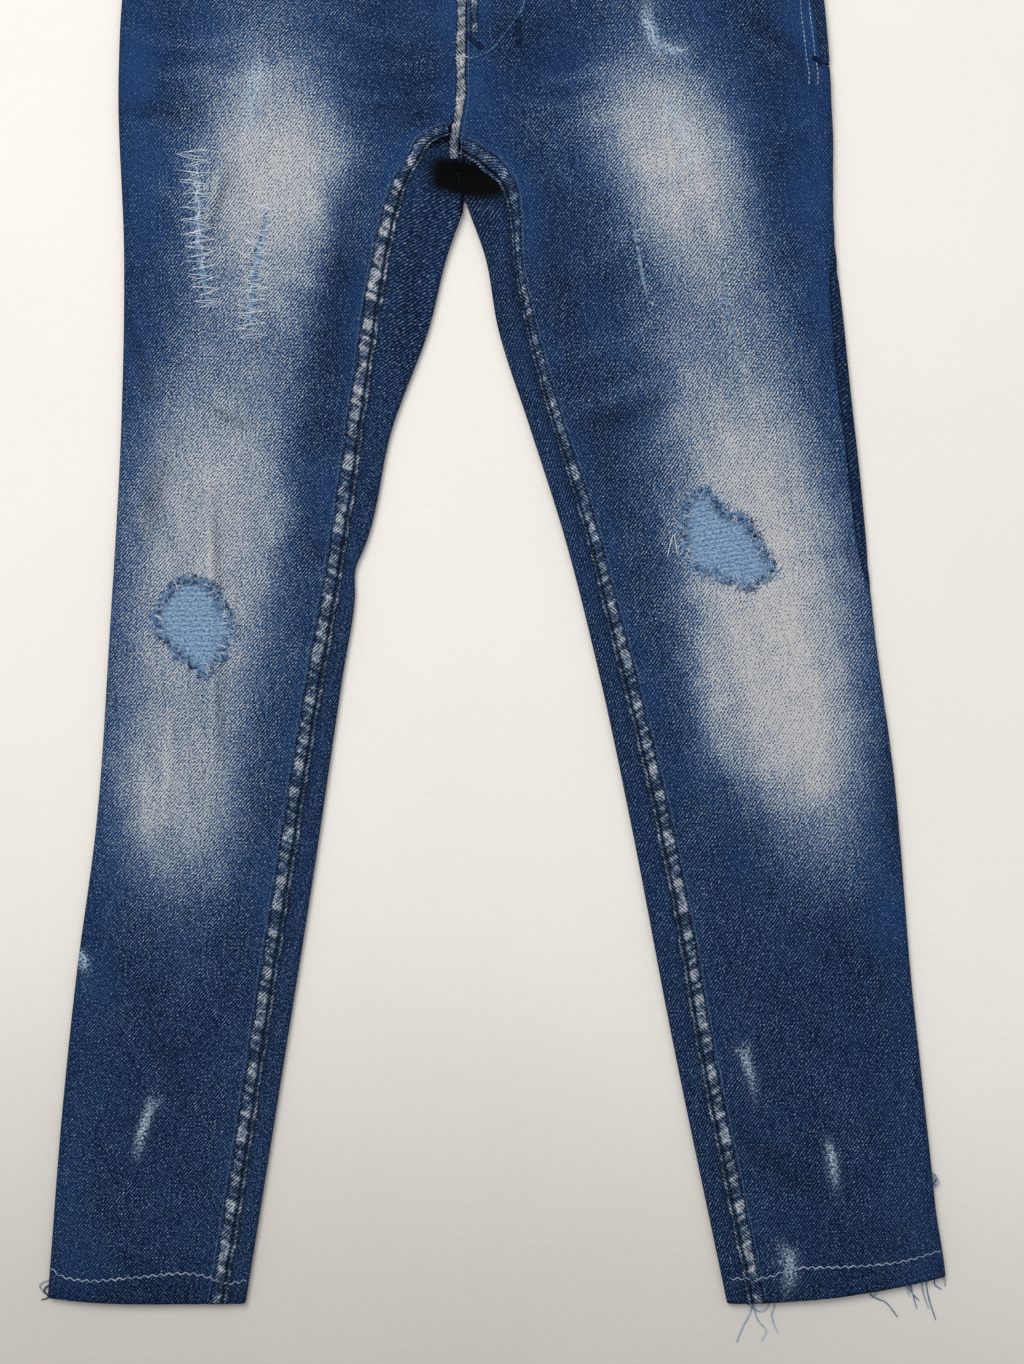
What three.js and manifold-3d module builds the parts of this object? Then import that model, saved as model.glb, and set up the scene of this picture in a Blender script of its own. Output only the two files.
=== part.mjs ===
// Ripped, mended straight-leg jeans lying flat on their back, front up.
// Millimetres. +Z is up and the cloth rests on z = 0, +Y runs from the hems
// to the waist, and +X is the wearer's left.
//
// Each leg is a flattened tube: a back sheet on the floor, a front sheet a few
// millimetres above it, and a rounded fold along each edge. Every panel is a
// grid of points on that tube, thickened along its normals, and whatever lies
// on or under a panel is made from the same points moved out or in.
import * as THREE from "three";
import { mergeVertices } from "three/addons/utils/BufferGeometryUtils.js";
import Module from "manifold-3d";

const wasm = await Module();
wasm.setup();

// ------------------------------------------------------------- dimensions
const CLOTH = 1.2; // one layer of denim
const BAND = 2.4; // doubled cloth of the waistband
const THIN = 1.0; // patches, pocket facings and felled seams
const GAP = 0.3; // between two pieces that are sewn together
const SIDE_GAP = 0.6; // at the side seams, which lie on the rounded fold
const WAIST_GAP = 0.6; // under the waistband
const HEM_Y = -512; // the lower edge of the legs
const HEM_DEPTH = 20; // turned-up cloth inside each hem
const CROTCH_Y = 231; // where the inner edges of the legs meet
const CB_X = -21; // centre back seam
const YOKE_SIDE_Y = 425; // yoke seam at the side seams
const YOKE_CENTRE_Y = 395; // yoke seam at the centre back
const WAIST_Y = 474; // waistband seam
const TOP_Y = 514; // upper edge of the waistband
const FRONT_DIP = 12; // the front waist hangs this much lower at its centre
const LEG_TOP_Z = 5.8; // height of the front sheet along the legs
const HIP_TOP_Z = 8.4; // over the hips
const WAIST_TOP_Z = 9.5; // at the waistband
const WAIST_BACK_Z = 2.7; // the waistband's back, lifted by the belt loops
const POCKET_LIFT = 1.5; // the back is lifted over the back pockets

const smooth = (t) => {
  const k = Math.min(1, Math.max(0, t));
  return k * k * (3 - 2 * k);
};
const ramp = (a, b, t) => smooth((t - a) / (b - a));
const mix = (a, b, t) => a + (b - a) * t;

// A smooth curve x(y) through a few [y, x] points, lowest y first.
function curve(points) {
  const slopes = points.map((_, i) => {
    const a = points[Math.max(0, i - 1)];
    const b = points[Math.min(points.length - 1, i + 1)];
    return (b[1] - a[1]) / (b[0] - a[0]);
  });
  return (y) => {
    let i = 0;
    while (i < points.length - 2 && y > points[i + 1][0]) i += 1;
    const [y0, x0] = points[i];
    const [y1, x1] = points[i + 1];
    const h = y1 - y0;
    const t = Math.min(1, Math.max(0, (y - y0) / h));
    const a = x0 + slopes[i] * h * t;
    const b = x1 - slopes[i + 1] * h * (1 - t);
    return mix(a, b, smooth(t));
  };
}

// ------------------------------------------------------------- the two legs
// side is the sign of x on the leg's outer edge. seamAt is where the side seam
// runs: the distance from the outermost line of the fold, negative underneath.
const RIGHT = {
  side: -1,
  outer: curve([
    [HEM_Y, -306], [-392, -297], [-290, -286.5], [-188, -273], [-52, -263.5],
    [84, -256], [203, -254], [322, -257.4], [375, -255], [474, -237],
    [TOP_Y, -234],
  ]),
  inner: curve([
    [HEM_Y, -171], [-358, -146.5], [-222, -125], [-86, -105], [16, -87],
    [84, -71], [152, -46], [203, -33], [CROTCH_Y, -22.8],
  ]),
  inseam: curve([
    [HEM_Y, -191], [-378, -170], [-279, -155], [-131, -132], [-7, -111],
    [120, -92.5], [186, -82.6], [CROTCH_Y, -73],
  ]),
  // the last of the inseam, from the fold up to the four-seam crossing
  crotch: [
    [-73, 231], [-70, 240], [-66.5, 250], [-60, 260],
    [-54, 270], [-49, 279], [-41, 285], [-34, 286],
  ],
  crossing: [],
  seamAt: () => -5,
  tilt: (x) => 4 * ramp(-240, -306, x),
};
const LEFT = {
  side: 1,
  outer: curve([
    [HEM_Y, 306], [-392, 293.4], [-290, 282.5], [-154, 271], [-52, 257.4],
    [50, 248], [152, 237], [220, 230], [288, 229], [375, 223], [474, 206],
    [TOP_Y, 203],
  ]),
  inner: curve([
    [HEM_Y, 157], [-324, 118], [-188, 92], [-86, 70.4], [16, 44.5],
    [84, 22.8], [152, 1], [203, -8.5], [CROTCH_Y, -18.7],
  ]),
  inseam: curve([
    [HEM_Y, 178.5], [-435, 163], [-344, 144.5], [-233, 125], [-133, 103],
    [-54, 83], [30, 61], [94, 40.5], [158, 23], [197, 15.3], [CROTCH_Y, 13.2],
  ]),
  crotch: [[13.2, 231], [11.5, 239], [7, 249], [-1, 256.5], [-12, 265], [-25.5, 272]],
  crossing: [[-30.4, 280]],
  // the side seam rolls onto the front of the thigh and back under the calf
  seamAt: (y) => -5 + 15 * ramp(256, 150, y) * ramp(-80, 10, y),
  tilt: (x) => 17 * ramp(157, 306, x),
};

// centre front seam above the crossing
const centreFront = curve([[280, -31], [296, -28.5], [330, -23], [375, -19], [474, -17]]);

// The left side seam opens a little where it rolls over the edge of the thigh.
const sideGap = (half, y) => SIDE_GAP + (half.side > 0 ? 1.6 * Math.exp(-(((y - 214) / 34) ** 2)) : 0);

// Rows of points up each leg and over the hips.
const legRows = [];
for (const y of [
  HEM_Y, HEM_Y + HEM_DEPTH, -440, -388, -336, -284, -232, -180, -128, -80, -38, 4, 54, 104, 152,
  186, 212, CROTCH_Y,
]) {
  legRows.push(y);
}
const hipRows = [311, 326, 338, 356, 378, 392, 410, 432, 452, WAIST_Y];

// ------------------------------------------------------------- the tube
const topEdge = (y) =>
  LEG_TOP_Z + (HIP_TOP_Z - LEG_TOP_Z) * ramp(150, 320, y) + (WAIST_TOP_Z - HIP_TOP_Z) * ramp(410, 465, y);
const backEdge = (y) => CLOTH / 2 + (WAIST_BACK_Z - CLOTH / 2) * ramp(418, 460, y);

function backZ(x, y) {
  const across = 1 - ramp(200, 226, Math.abs(x + 14));
  const lift = POCKET_LIFT * ramp(184, 212, y) * across;
  return Math.max(backEdge(y), CLOTH / 2 + lift);
}

function topZ(x, y) {
  const half = x < CB_X ? RIGHT : LEFT;
  const outside = Math.abs(x - half.outer(y));
  const inside = Math.abs(x - half.inner(Math.min(y, CROTCH_Y))) + Math.max(0, y - CROTCH_Y) * 0.5;
  const edge = smooth(outside / 80) * smooth(inside / 80) * (1 - ramp(380, 440, y));
  const swell = edge * (1.1 + 0.8 * Math.sin(y / 80 + x / 170));
  const hollow = 2.2 * Math.exp(-(((x + 20) / 15) ** 2) - ((y - 254) / 14) ** 2);
  return topEdge(y) + swell - hollow;
}

// The front waist hangs lower than the back at its middle.
const dip = (x, y) =>
  FRONT_DIP * ramp(330, 470, y) * Math.cos(Math.min(1, Math.abs(x + 16) / 218) * Math.PI / 2) ** 2;
const hemTilt = (half, x, y) => half.tilt(x) * ramp(-440, HEM_Y, y);
const front = (half, x, y) => new THREE.Vector3(x, y + hemTilt(half, x, y) - dip(x, y), topZ(x, y));
const back = (half, x, y) => new THREE.Vector3(x, y + hemTilt(half, x, y), backZ(x, y));

// A point at distance s from the outermost line of the leg's outer fold:
// positive over the front sheet, negative under the back sheet.
function fromOuter(half, y, s) {
  const r = (topEdge(y) - backEdge(y)) / 2;
  const edge = half.outer(y) - half.side * CLOTH / 2;
  const quarter = (r * Math.PI) / 2;
  if (s > quarter) return front(half, edge - half.side * (r + s - quarter), y);
  if (s < -quarter) return back(half, edge - half.side * (r - s - quarter), y);
  const x = edge - half.side * (r - r * Math.cos(s / r));
  return new THREE.Vector3(x, y + hemTilt(half, x, y), backEdge(y) + r + r * Math.sin(s / r));
}

// The same from the inner edge of a leg, below the crotch.
function fromInner(half, y, s) {
  const edge = half.inner(y) + half.side * CLOTH / 2;
  const low = backZ(edge, y);
  const r = (topZ(edge, y) - low) / 2;
  const quarter = (r * Math.PI) / 2;
  if (s > quarter) return front(half, edge + half.side * (r + s - quarter), y);
  if (s < -quarter) return back(half, edge + half.side * (r - s - quarter), y);
  const x = edge + half.side * (r - r * Math.cos(s / r));
  return new THREE.Vector3(x, y + hemTilt(half, x, y), low + r + r * Math.sin(s / r));
}

// Distance from the outer fold's outermost line to x on the front sheet.
function reach(half, y, x) {
  const r = (topEdge(y) - backEdge(y)) / 2;
  return Math.abs(half.outer(y) - half.side * CLOTH / 2 - x) - r + (r * Math.PI) / 2;
}

// ------------------------------------------------------------- shells
// A surface is grids of points that share their common edges. Its shell has a
// face moved out by `out` and one moved in by `inn` (a number or a function of
// the point), closed by walls along every free edge.
function shell(grids, out, inn = out) {
  const points = [];
  const index = new Map();
  const idOf = (p) => {
    const key = `${Math.round(p.x * 500)},${Math.round(p.y * 500)},${Math.round(p.z * 500)}`;
    if (!index.has(key)) {
      index.set(key, points.length);
      points.push(p);
    }
    return index.get(key);
  };
  const faces = [];
  for (const { rows, flip } of grids) {
    for (let j = 0; j + 1 < rows.length; j += 1) {
      for (let i = 0; i + 1 < rows[j].length; i += 1) {
        const corners = [rows[j][i], rows[j][i + 1], rows[j + 1][i + 1], rows[j + 1][i]].map(idOf);
        if (flip) corners.reverse();
        for (const tri of [[0, 1, 2], [0, 2, 3]]) {
          const face = tri.map((k) => corners[k]);
          if (new Set(face).size === 3) faces.push(face);
        }
      }
    }
  }
  const normals = points.map(() => new THREE.Vector3());
  for (const face of faces) {
    const [a, b, c] = face.map((k) => points[k]);
    const n = b.clone().sub(a).cross(c.clone().sub(a));
    for (const k of face) normals[k].add(n);
  }
  const position = [];
  const thick = (t, p) => (typeof t === "number" ? t : t(p));
  points.forEach((p, k) => {
    const n = normals[k].normalize();
    position.push(...p.clone().addScaledVector(n, thick(out, p)).toArray());
  });
  points.forEach((p, k) => {
    position.push(...p.clone().addScaledVector(normals[k], -thick(inn, p)).toArray());
  });
  const count = points.length;
  const triangles = [];
  const used = new Map();
  for (const [a, b, c] of faces) {
    triangles.push(a, b, c, a + count, c + count, b + count);
    for (const [p, q] of [[a, b], [b, c], [c, a]]) used.set(`${p},${q}`, [p, q]);
  }
  for (const [p, q] of used.values()) {
    if (used.has(`${q},${p}`)) continue;
    triangles.push(q, p, p + count, q, p + count, q + count);
  }
  const geometry = new THREE.BufferGeometry();
  geometry.setAttribute("position", new THREE.Float32BufferAttribute(position, 3));
  geometry.setIndex(triangles);
  return geometry;
}

function toManifold(geometry) {
  const bare = geometry.clone();
  bare.deleteAttribute("normal");
  bare.deleteAttribute("uv");
  const merged = mergeVertices(bare, 1e-4);
  return new wasm.Manifold(new wasm.Mesh({
    numProp: 3,
    vertProperties: Float32Array.from(merged.getAttribute("position").array),
    triVerts: Uint32Array.from(merged.getIndex().array),
  }));
}

function fromManifold(solid) {
  const mesh = solid.getMesh();
  const geometry = new THREE.BufferGeometry();
  geometry.setAttribute("position", new THREE.BufferAttribute(Float32Array.from(mesh.vertProperties), 3));
  geometry.setIndex(new THREE.BufferAttribute(Uint32Array.from(mesh.triVerts), 1));
  return geometry;
}

// Cuts openings straight down through a panel.
function cut(geometry, outlines) {
  let solid = toManifold(geometry);
  for (const outline of outlines) {
    const shape = new THREE.Shape(outline);
    const prism = new THREE.ExtrudeGeometry(shape, { depth: 9, bevelEnabled: false, curveSegments: 1 });
    prism.translate(0, 0, 3.2);
    solid = solid.subtract(toManifold(prism));
  }
  return fromManifold(solid);
}

// ------------------------------------------------------------- rips and holes
const closed = (points, count) =>
  new THREE.SplineCurve([...points, points[0]].map(([x, y]) => new THREE.Vector2(x, y)))
    .getSpacedPoints(count).slice(0, count);

// A tear along a line, widest in the middle.
function tear(points, width) {
  const line = new THREE.SplineCurve(points.map(([x, y]) => new THREE.Vector2(x, y)));
  const steps = 6;
  const one = [];
  const other = [];
  for (let i = 0; i <= steps; i += 1) {
    const p = line.getPoint(i / steps);
    const across = line.getTangent(i / steps).rotateAround(new THREE.Vector2(), Math.PI / 2);
    const half = (width / 2) * (0.25 + 0.75 * Math.sin((Math.PI * i) / steps));
    one.push(p.clone().addScaledVector(across, half));
    other.unshift(p.clone().addScaledVector(across, -half));
  }
  return [...one, ...other];
}

const KNEE_HOLE_RIGHT = [
  [-218, -21], [-196, -22], [-184, -42], [-180, -52], [-185, -70], [-199, -85], [-222, -66],
  [-231, -50], [-228, -34],
];
const KNEE_HOLE_LEFT = [
  [138, 41], [147, 38], [153, 28], [168, 22], [180, 4], [188, -12], [178, -20], [171, -26],
  [154, -20], [136, -14], [129, -2], [127, 18],
];
const TEARS_RIGHT = [
  { line: [[-206, 264], [-202, 225], [-199, 184], [-195.5, 166]], width: 4.5 },
  { line: [[-157, 231], [-161, 206], [-166, 182], [-167.5, 144]], width: 4.5 },
];
const TEARS_LEFT = [
  { line: [[89, 237], [96, 205], [105, 164]], width: 2.4 },
  { line: [[152.7, 201], [157, 166], [170, 120]], width: 2.4 },
];

// ------------------------------------------------------------- panels
// Distances from a sewn edge where the folded cloth needs its points.
const NEAR = [0, 2, 4, 6.5, 10];
const TAIL = [...NEAR].reverse();

function panelRow(half, y, from, to, spans) {
  const near = NEAR.map((d) => from + d);
  const a = near[near.length - 1];
  const b = to - 7;
  const row = [...near];
  for (let k = 1; k <= spans; k += 1) row.push(mix(a, b, k / spans));
  row.push(to);
  return row.map((s) => fromOuter(half, y, s));
}

// The pocket mouth on each front panel: from the waist down to the side seam.
const MOUTH = {
  "-1": { foot: 378, reach: (y) => 10 + 36 * ramp(380, 500, y) },
  1: { foot: 326, reach: (y) => 10 + 38 * ramp(350, 500, y) },
};

function frontPanel(half) {
  const rows = [];
  const mouth = MOUTH[half.side];
  const edgeRows = [
    ...legRows.map((y) => [half.inseam(y), y]),
    ...half.crotch.slice(1),
    ...half.crossing,
    [centreFront(296), 296],
    ...hipRows.map((y) => [centreFront(y), y]),
  ];
  for (const [x, y] of edgeRows) {
    const start = y > mouth.foot ? mouth.reach(y) : half.seamAt(y) + sideGap(half, y) / 2;
    rows.push(panelRow(half, y, start, reach(half, y, x) - GAP / 2, 5));
  }
  const hemTop = (p) => HEM_Y + HEM_DEPTH - 2 + 16 * ramp(157, 306, p.x);
  const inner = (p) => (p.y < hemTop(p) ? CLOTH / 2 + THIN : CLOTH / 2);
  return shell([{ rows, flip: half.side > 0 }], CLOTH / 2, inner);
}

// The back panel wraps over the leg's inner edge to the inseam. Above the
// crotch it splits at the centre back seam: a flap on top, the seat below.
function yokeLine(x) {
  return mix(YOKE_CENTRE_Y, YOKE_SIDE_Y, Math.min(1, Math.abs(x - CB_X) / 225));
}

// the centre back seam where it comes over the top of the crotch
const riseLine = (y) => CB_X - 10 * ((y - CROTCH_Y) / 50);

const INNER_ARC = [1, 0.5];

function backRow(half, y) {
  const edge = half.inner(y) + half.side * CLOTH / 2;
  const r = (topZ(edge, y) - backZ(edge, y)) / 2;
  const quarter = (r * Math.PI) / 2;
  const inseam = quarter + Math.abs(half.inseam(y) - edge) - r - GAP / 2;
  const wrap = [inseam, inseam - 7, quarter + 0.45 * (inseam - 7 - quarter)]
    .concat(INNER_ARC.map((k) => k * quarter))
    .map((s) => fromInner(half, y, s));
  const nose = fromInner(half, y, 0);
  const end = half.seamAt(y) - sideGap(half, y) / 2;
  const under = [...INNER_ARC].reverse().map((k) => fromInner(half, y, -k * quarter));
  const tail = TAIL.map((d) => fromOuter(half, y, end - d));
  const first = under[under.length - 1].x;
  const last = tail[0].x;
  for (let k = 1; k < 6; k += 1) under.push(back(half, mix(first, last, k / 6), y));
  return { wrap, nose, seat: [...under, ...tail] };
}

// Where the seat's columns lie between the centre back and the side fold.
const SEAT_COLUMNS = [0, 0.012, 0.024, 0.18, 0.34, 0.5, 0.66, 0.83];

function backPanel(half) {
  const sections = legRows.map((y) => backRow(half, y));
  const leg = sections.map(({ wrap, nose, seat }) => [...wrap, nose, ...seat]);
  const top = sections[sections.length - 1];

  // the flap between the inseam and the centre back seam
  const base = [...top.wrap, top.nose];
  const spread = base.map((p) => (p.x - base[0].x) / (top.nose.x - base[0].x));
  const drop = base.map((p) => topZ(p.x, CROTCH_Y) - p.z);
  const flap = [base];
  const tip = half.crotch[half.crotch.length - 1];
  half.crotch.slice(1).forEach(([x, y], n) => {
    const v = (n + 1) / (half.crotch.length - 1);
    const [px, py] = half.crotch[n];
    const along = new THREE.Vector2(x - px, y - py).normalize();
    const aside = new THREE.Vector2(-along.y * half.side, along.x * half.side);
    const a = new THREE.Vector2(x, y).add(aside.multiplyScalar(GAP));
    const by = mix(CROTCH_Y, tip[1] - 4, v);
    const b = new THREE.Vector2(riseLine(by) + half.side * mix(1.6, 0.3, smooth(v * 3)), by);
    const rise = Math.sin((Math.min(1, (b.y - CROTCH_Y) / 14) * Math.PI) / 2);
    flap.push(spread.map((f, k) => {
      const p = a.clone().lerp(b, f);
      return new THREE.Vector3(p.x, p.y, topZ(p.x, p.y) - drop[k] * (1 - rise));
    }));
  });

  // the seat, up to the yoke seam
  const under = [top.nose, ...top.seat];
  const climb = under.map((p, k) => (k < 3 ? p.z - backZ(p.x, CROTCH_Y) : 0));
  const seat = [under];
  const heights = [240, 252, 270, 296, 326, 356, 392, YOKE_SIDE_Y];
  for (const y of heights) {
    const open = half.side * mix(2.3, GAP / 2, smooth((y - CROTCH_Y) / 20));
    const end = half.seamAt(y) - sideGap(half, y) / 2;
    const fall = 1 - Math.sin((Math.min(1, (y - CROTCH_Y) / 14) * Math.PI) / 2);
    const tail = TAIL.map((d) => fromOuter(half, y, end - d));
    const cb = CB_X + open;
    const row = SEAT_COLUMNS.map((f, k) => {
      const x = mix(cb, tail[0].x, f);
      const py = y + (yokeLine(x) - YOKE_SIDE_Y) * Math.max(0, (y - 311) / (YOKE_SIDE_Y - 311));
      return new THREE.Vector3(x, py, backZ(x, py) + climb[k] * fall);
    });
    seat.push([...row, ...tail]);
  }
  const flip = half.side < 0;
  const hemTop = (p) => HEM_Y + HEM_DEPTH - 2 + 16 * ramp(157, 306, p.x);
  const inner = (p) => (p.y < hemTop(p) ? CLOTH / 2 + THIN : CLOTH / 2);
  return shell([
    { rows: leg.map((row) => [...row].reverse()), flip },
    { rows: flap.map((row) => [...row].reverse()), flip },
    { rows: seat.map((row) => [...row].reverse()), flip },
  ], CLOTH / 2, inner);
}

// ------------------------------------------------------------- yoke, band
function backYoke(half) {
  const rows = [];
  for (const f of [0, 0.4, 0.7, 1]) {
    const y = mix(YOKE_SIDE_Y + GAP, WAIST_Y, f);
    const end = half.seamAt(y) - sideGap(half, y) / 2;
    const tail = TAIL.map((d) => fromOuter(half, y, end - d));
    const row = [];
    const cb = CB_X + half.side * GAP / 2;
    for (const along of SEAT_COLUMNS.filter((f) => f === 0 || f > 0.1)) {
      const x = mix(cb, tail[0].x, along);
      const py = mix(yokeLine(x) + GAP, WAIST_Y, f);
      row.push(new THREE.Vector3(x, py, backZ(x, py)));
    }
    rows.push([...tail.reverse(), ...row.reverse()]);
  }
  return shell([{ rows, flip: half.side > 0 }], CLOTH / 2);
}

const OVERLAP_END = -27; // the buttonhole end of the waistband
const UNDERLAP_END = 14; // the button end, underneath it
const BUTTON_X = -13;
const BUTTON_Y = 493;

// Points right round the waist at one height, from the buttonhole end over the
// wearer's left side, the back and the right side to the button end.
function waistRow(y) {
  const row = [];
  const step = (list) => row.push(...list);
  const onFront = (x, down = 0) => {
    const half = x < CB_X ? RIGHT : LEFT;
    const p = front(half, x, y);
    p.z -= down;
    return p;
  };
  step([OVERLAP_END, BUTTON_X - 7, BUTTON_X + 5, 25, 60, 100, 140, 175].map((x) => onFront(x)));
  step([12, 8, 4, 0, -4, -8].map((s) => fromOuter(LEFT, y, s)));
  step([175, 60, CB_X, -100, -205].map((x) => back(LEFT, x, y)));
  step([-8, -4, 0, 4, 8, 12].map((s) => fromOuter(RIGHT, y, s)));
  step([-205, -165, -125, -90].map((x) => onFront(x)));
  step([-62, -48, -36].map((x) => onFront(x, 2.9 * ramp(-64, -36, x))));
  step([-24, -10, UNDERLAP_END].map((x) => onFront(x, 2.9)));
  return row;
}

function waistband() {
  const rows = [WAIST_Y + WAIST_GAP, 485, 501, TOP_Y].map((y) => waistRow(y));
  // the buttonhole is the one open cell between the second and third columns
  const grids = [];
  rows.slice(0, -1).forEach((row, j) => {
    if (j === 1) {
      grids.push({ rows: [row.slice(0, 2), rows[j + 1].slice(0, 2)], flip: true });
      grids.push({ rows: [row.slice(2), rows[j + 1].slice(2)], flip: true });
    } else {
      grids.push({ rows: [row, rows[j + 1]], flip: true });
    }
  });
  return shell(grids, BAND / 2);
}

function waistButton() {
  const rim = front(LEFT, BUTTON_X, BUTTON_Y).z;
  const low = rim - 2.9 + BAND / 2 + GAP;
  const high = rim + BAND / 2 + GAP;
  const profile = [
    [0, low], [3.4, low], [3.4, low + 0.5], [2, low + 0.9], [2, high], [8.3, high],
    [8.5, high + 0.8], [7.6, high + 1.7], [6.6, high + 1.3], [0, high + 1.6],
  ].map(([r, z]) => new THREE.Vector2(r, z));
  const geometry = new THREE.LatheGeometry(profile, 16);
  geometry.rotateX(Math.PI / 2);
  geometry.translate(BUTTON_X - 1, BUTTON_Y - FRONT_DIP, 0);
  return geometry;
}

function beltLoop(x, onBack) {
  const rows = [];
  for (const y of [WAIST_Y - 5, WAIST_Y + 14, TOP_Y - 1]) {
    rows.push([-5.5, 5.5].map((d) => {
      const half = x + d < CB_X ? RIGHT : LEFT;
      const p = onBack ? back(half, x + d, y) : front(half, x + d, y);
      const lift = BAND / 2 + GAP + CLOTH / 2;
      p.z = onBack ? CLOTH / 2 : p.z + lift;
      return p;
    }));
  }
  return shell([{ rows, flip: onBack }], CLOTH / 2);
}

// ------------------------------------------------------------- small pieces
// A felled seam: a strip over a line of [x, y] points on the front sheet.
function felledSeam(line, width) {
  const rows = line.map(([x, y], k) => {
    const [ax, ay] = line[Math.max(0, k - 1)];
    const [bx, by] = line[Math.min(line.length - 1, k + 1)];
    const across = new THREE.Vector2(by - ay, ax - bx).normalize();
    return [-width / 2, 0, width / 2].map((d) => {
      const px = x + across.x * d;
      const half = px < CB_X ? RIGHT : LEFT;
      const p = front(half, px, y);
      p.y += across.y * d;
      p.z = topZ(px, y + across.y * d) + CLOTH / 2 + GAP + THIN / 2;
      return p;
    });
  });
  return shell([{ rows, flip: false }], THIN / 2);
}

const inseamLine = (half) => [
  ...legRows.map((y) => [half.inseam(y), y]),
  ...half.crotch.slice(1, -1),
];

// A flat sheet behind an opening, following the panel from inside.
function backing(left, right, bottom, top, extraRows = []) {
  const ys = [bottom, ...[...legRows, ...extraRows].filter((y) => y > bottom + 6 && y < top - 6), top];
  const rows = ys.sort((a, b) => a - b).map((y) => {
    const row = [];
    for (let k = 0; k <= 4; k += 1) {
      const x = mix(left, right, k / 4);
      const half = x < CB_X ? RIGHT : LEFT;
      const p = front(half, x, y);
      p.z -= CLOTH / 2 + GAP + THIN / 2 + 0.15;
      row.push(p);
    }
    return row;
  });
  return shell([{ rows, flip: false }], THIN / 2);
}

// The cloth between the side seam and the pocket mouth.
function pocketFacing(half) {
  const mouth = MOUTH[half.side];
  const above = hipRows.filter((y) => y > mouth.foot);
  const tip = fromOuter(half, mouth.foot + 4, half.seamAt(mouth.foot) + SIDE_GAP * 2);
  const rows = [Array(7).fill(tip)];
  for (const y of above) {
    const from = half.seamAt(y) + SIDE_GAP;
    const to = mouth.reach(y) - SIDE_GAP;
    rows.push([0, 2, 4, 6, 8, 8 + (to - from - 8) / 2, to - from].map((d) => fromOuter(half, y, from + d)));
  }
  return shell([{ rows, flip: half.side > 0 }], CLOTH / 2);
}

function flyFacing() {
  const ys = [338, 356, 378, 410, 452, WAIST_Y - 2];
  const rows = ys.map((y) => {
    const left = centreFront(y) - 6;
    const right = mix(centreFront(y) + 8, 16, Math.sin(Math.min(1, (y - 330) / 40) * Math.PI / 2));
    return [0, 0.5, 1].map((f) => {
      const p = front(LEFT, mix(left, right, f), y);
      p.z -= CLOTH / 2 + GAP + THIN / 2 + 0.15;
      return p;
    });
  });
  return shell([{ rows, flip: false }], THIN / 2);
}

// A patch pocket lies flat under the seat: straight sides and a low point.
function backPocket(x) {
  const shape = new THREE.Shape();
  shape.moveTo(x - 72, 388);
  shape.lineTo(x - 65, 258);
  shape.lineTo(x, 240);
  shape.lineTo(x + 65, 258);
  shape.lineTo(x + 72, 388);
  shape.closePath();
  return new THREE.ExtrudeGeometry(shape, { depth: CLOTH, bevelEnabled: false });
}

// ------------------------------------------------------------- assembly
const cloth = (color) => new THREE.MeshStandardMaterial({ color, roughness: 0.95, metalness: 0 });
const DENIM = cloth("#2c466f");
const SEAM = cloth("#3a5075");
const PATCH = cloth("#8aa9cc");
const BRASS = new THREE.MeshStandardMaterial({ color: "#9c7a4a", roughness: 0.4, metalness: 1 });

const jeans = new THREE.Group();
function add(name, geometry, material) {
  const mesh = new THREE.Mesh(geometry, material);
  mesh.name = name;
  jeans.add(mesh);
}

add("front_panel_right", cut(frontPanel(RIGHT), [
  closed(KNEE_HOLE_RIGHT, 18), ...TEARS_RIGHT.map(({ line, width }) => tear(line, width)),
]), DENIM);
add("front_panel_left", cut(frontPanel(LEFT), [
  closed(KNEE_HOLE_LEFT, 22), ...TEARS_LEFT.map(({ line, width }) => tear(line, width)),
]), DENIM);
add("back_panel_right", backPanel(RIGHT), DENIM);
add("back_panel_left", backPanel(LEFT), DENIM);
add("back_yoke_right", backYoke(RIGHT), DENIM);
add("back_yoke_left", backYoke(LEFT), DENIM);
add("waistband", waistband(), DENIM);
add("waist_button", waistButton(), BRASS);
add("belt_loop_front_right", beltLoop(-122, false), DENIM);
add("belt_loop_front_left", beltLoop(92, false), DENIM);
add("belt_loop_back_right", beltLoop(-150, true), DENIM);
add("belt_loop_back_centre", beltLoop(-15, true), DENIM);
add("belt_loop_back_left", beltLoop(120, true), DENIM);
add("fly_facing", flyFacing(), DENIM);
add("pocket_facing_right", pocketFacing(RIGHT), DENIM);
add("pocket_facing_left", pocketFacing(LEFT), DENIM);
add("back_pocket_right", backPocket(-128), DENIM);
add("back_pocket_left", backPocket(96), DENIM);
add("knee_patch_right", backing(-250, -160, -106, 0), PATCH);
add("knee_patch_left", backing(106, 206, -46, 60), PATCH);
add("thigh_patch_right", backing(-222, -140, 126, 282, [258]), PATCH);
add("thigh_patch_left", backing(74, 186, 102, 256), PATCH);
add("inseam_right", felledSeam(inseamLine(RIGHT), 12), SEAM);
add("inseam_left", felledSeam(inseamLine(LEFT), 12), SEAM);
add("front_rise_seam", felledSeam([
  [centreFront(298), 298], [centreFront(311), 311], [centreFront(326), 326],
  [centreFront(338), 338], [centreFront(352), 352],
], 10), SEAM);

// The origin is the middle of the garment's box, on the surface it lies on.
const box = new THREE.Box3().setFromObject(jeans);
const centre = box.getCenter(new THREE.Vector3());
for (const mesh of jeans.children) mesh.geometry.translate(-centre.x, -centre.y, 0);

export default jeans;
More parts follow.
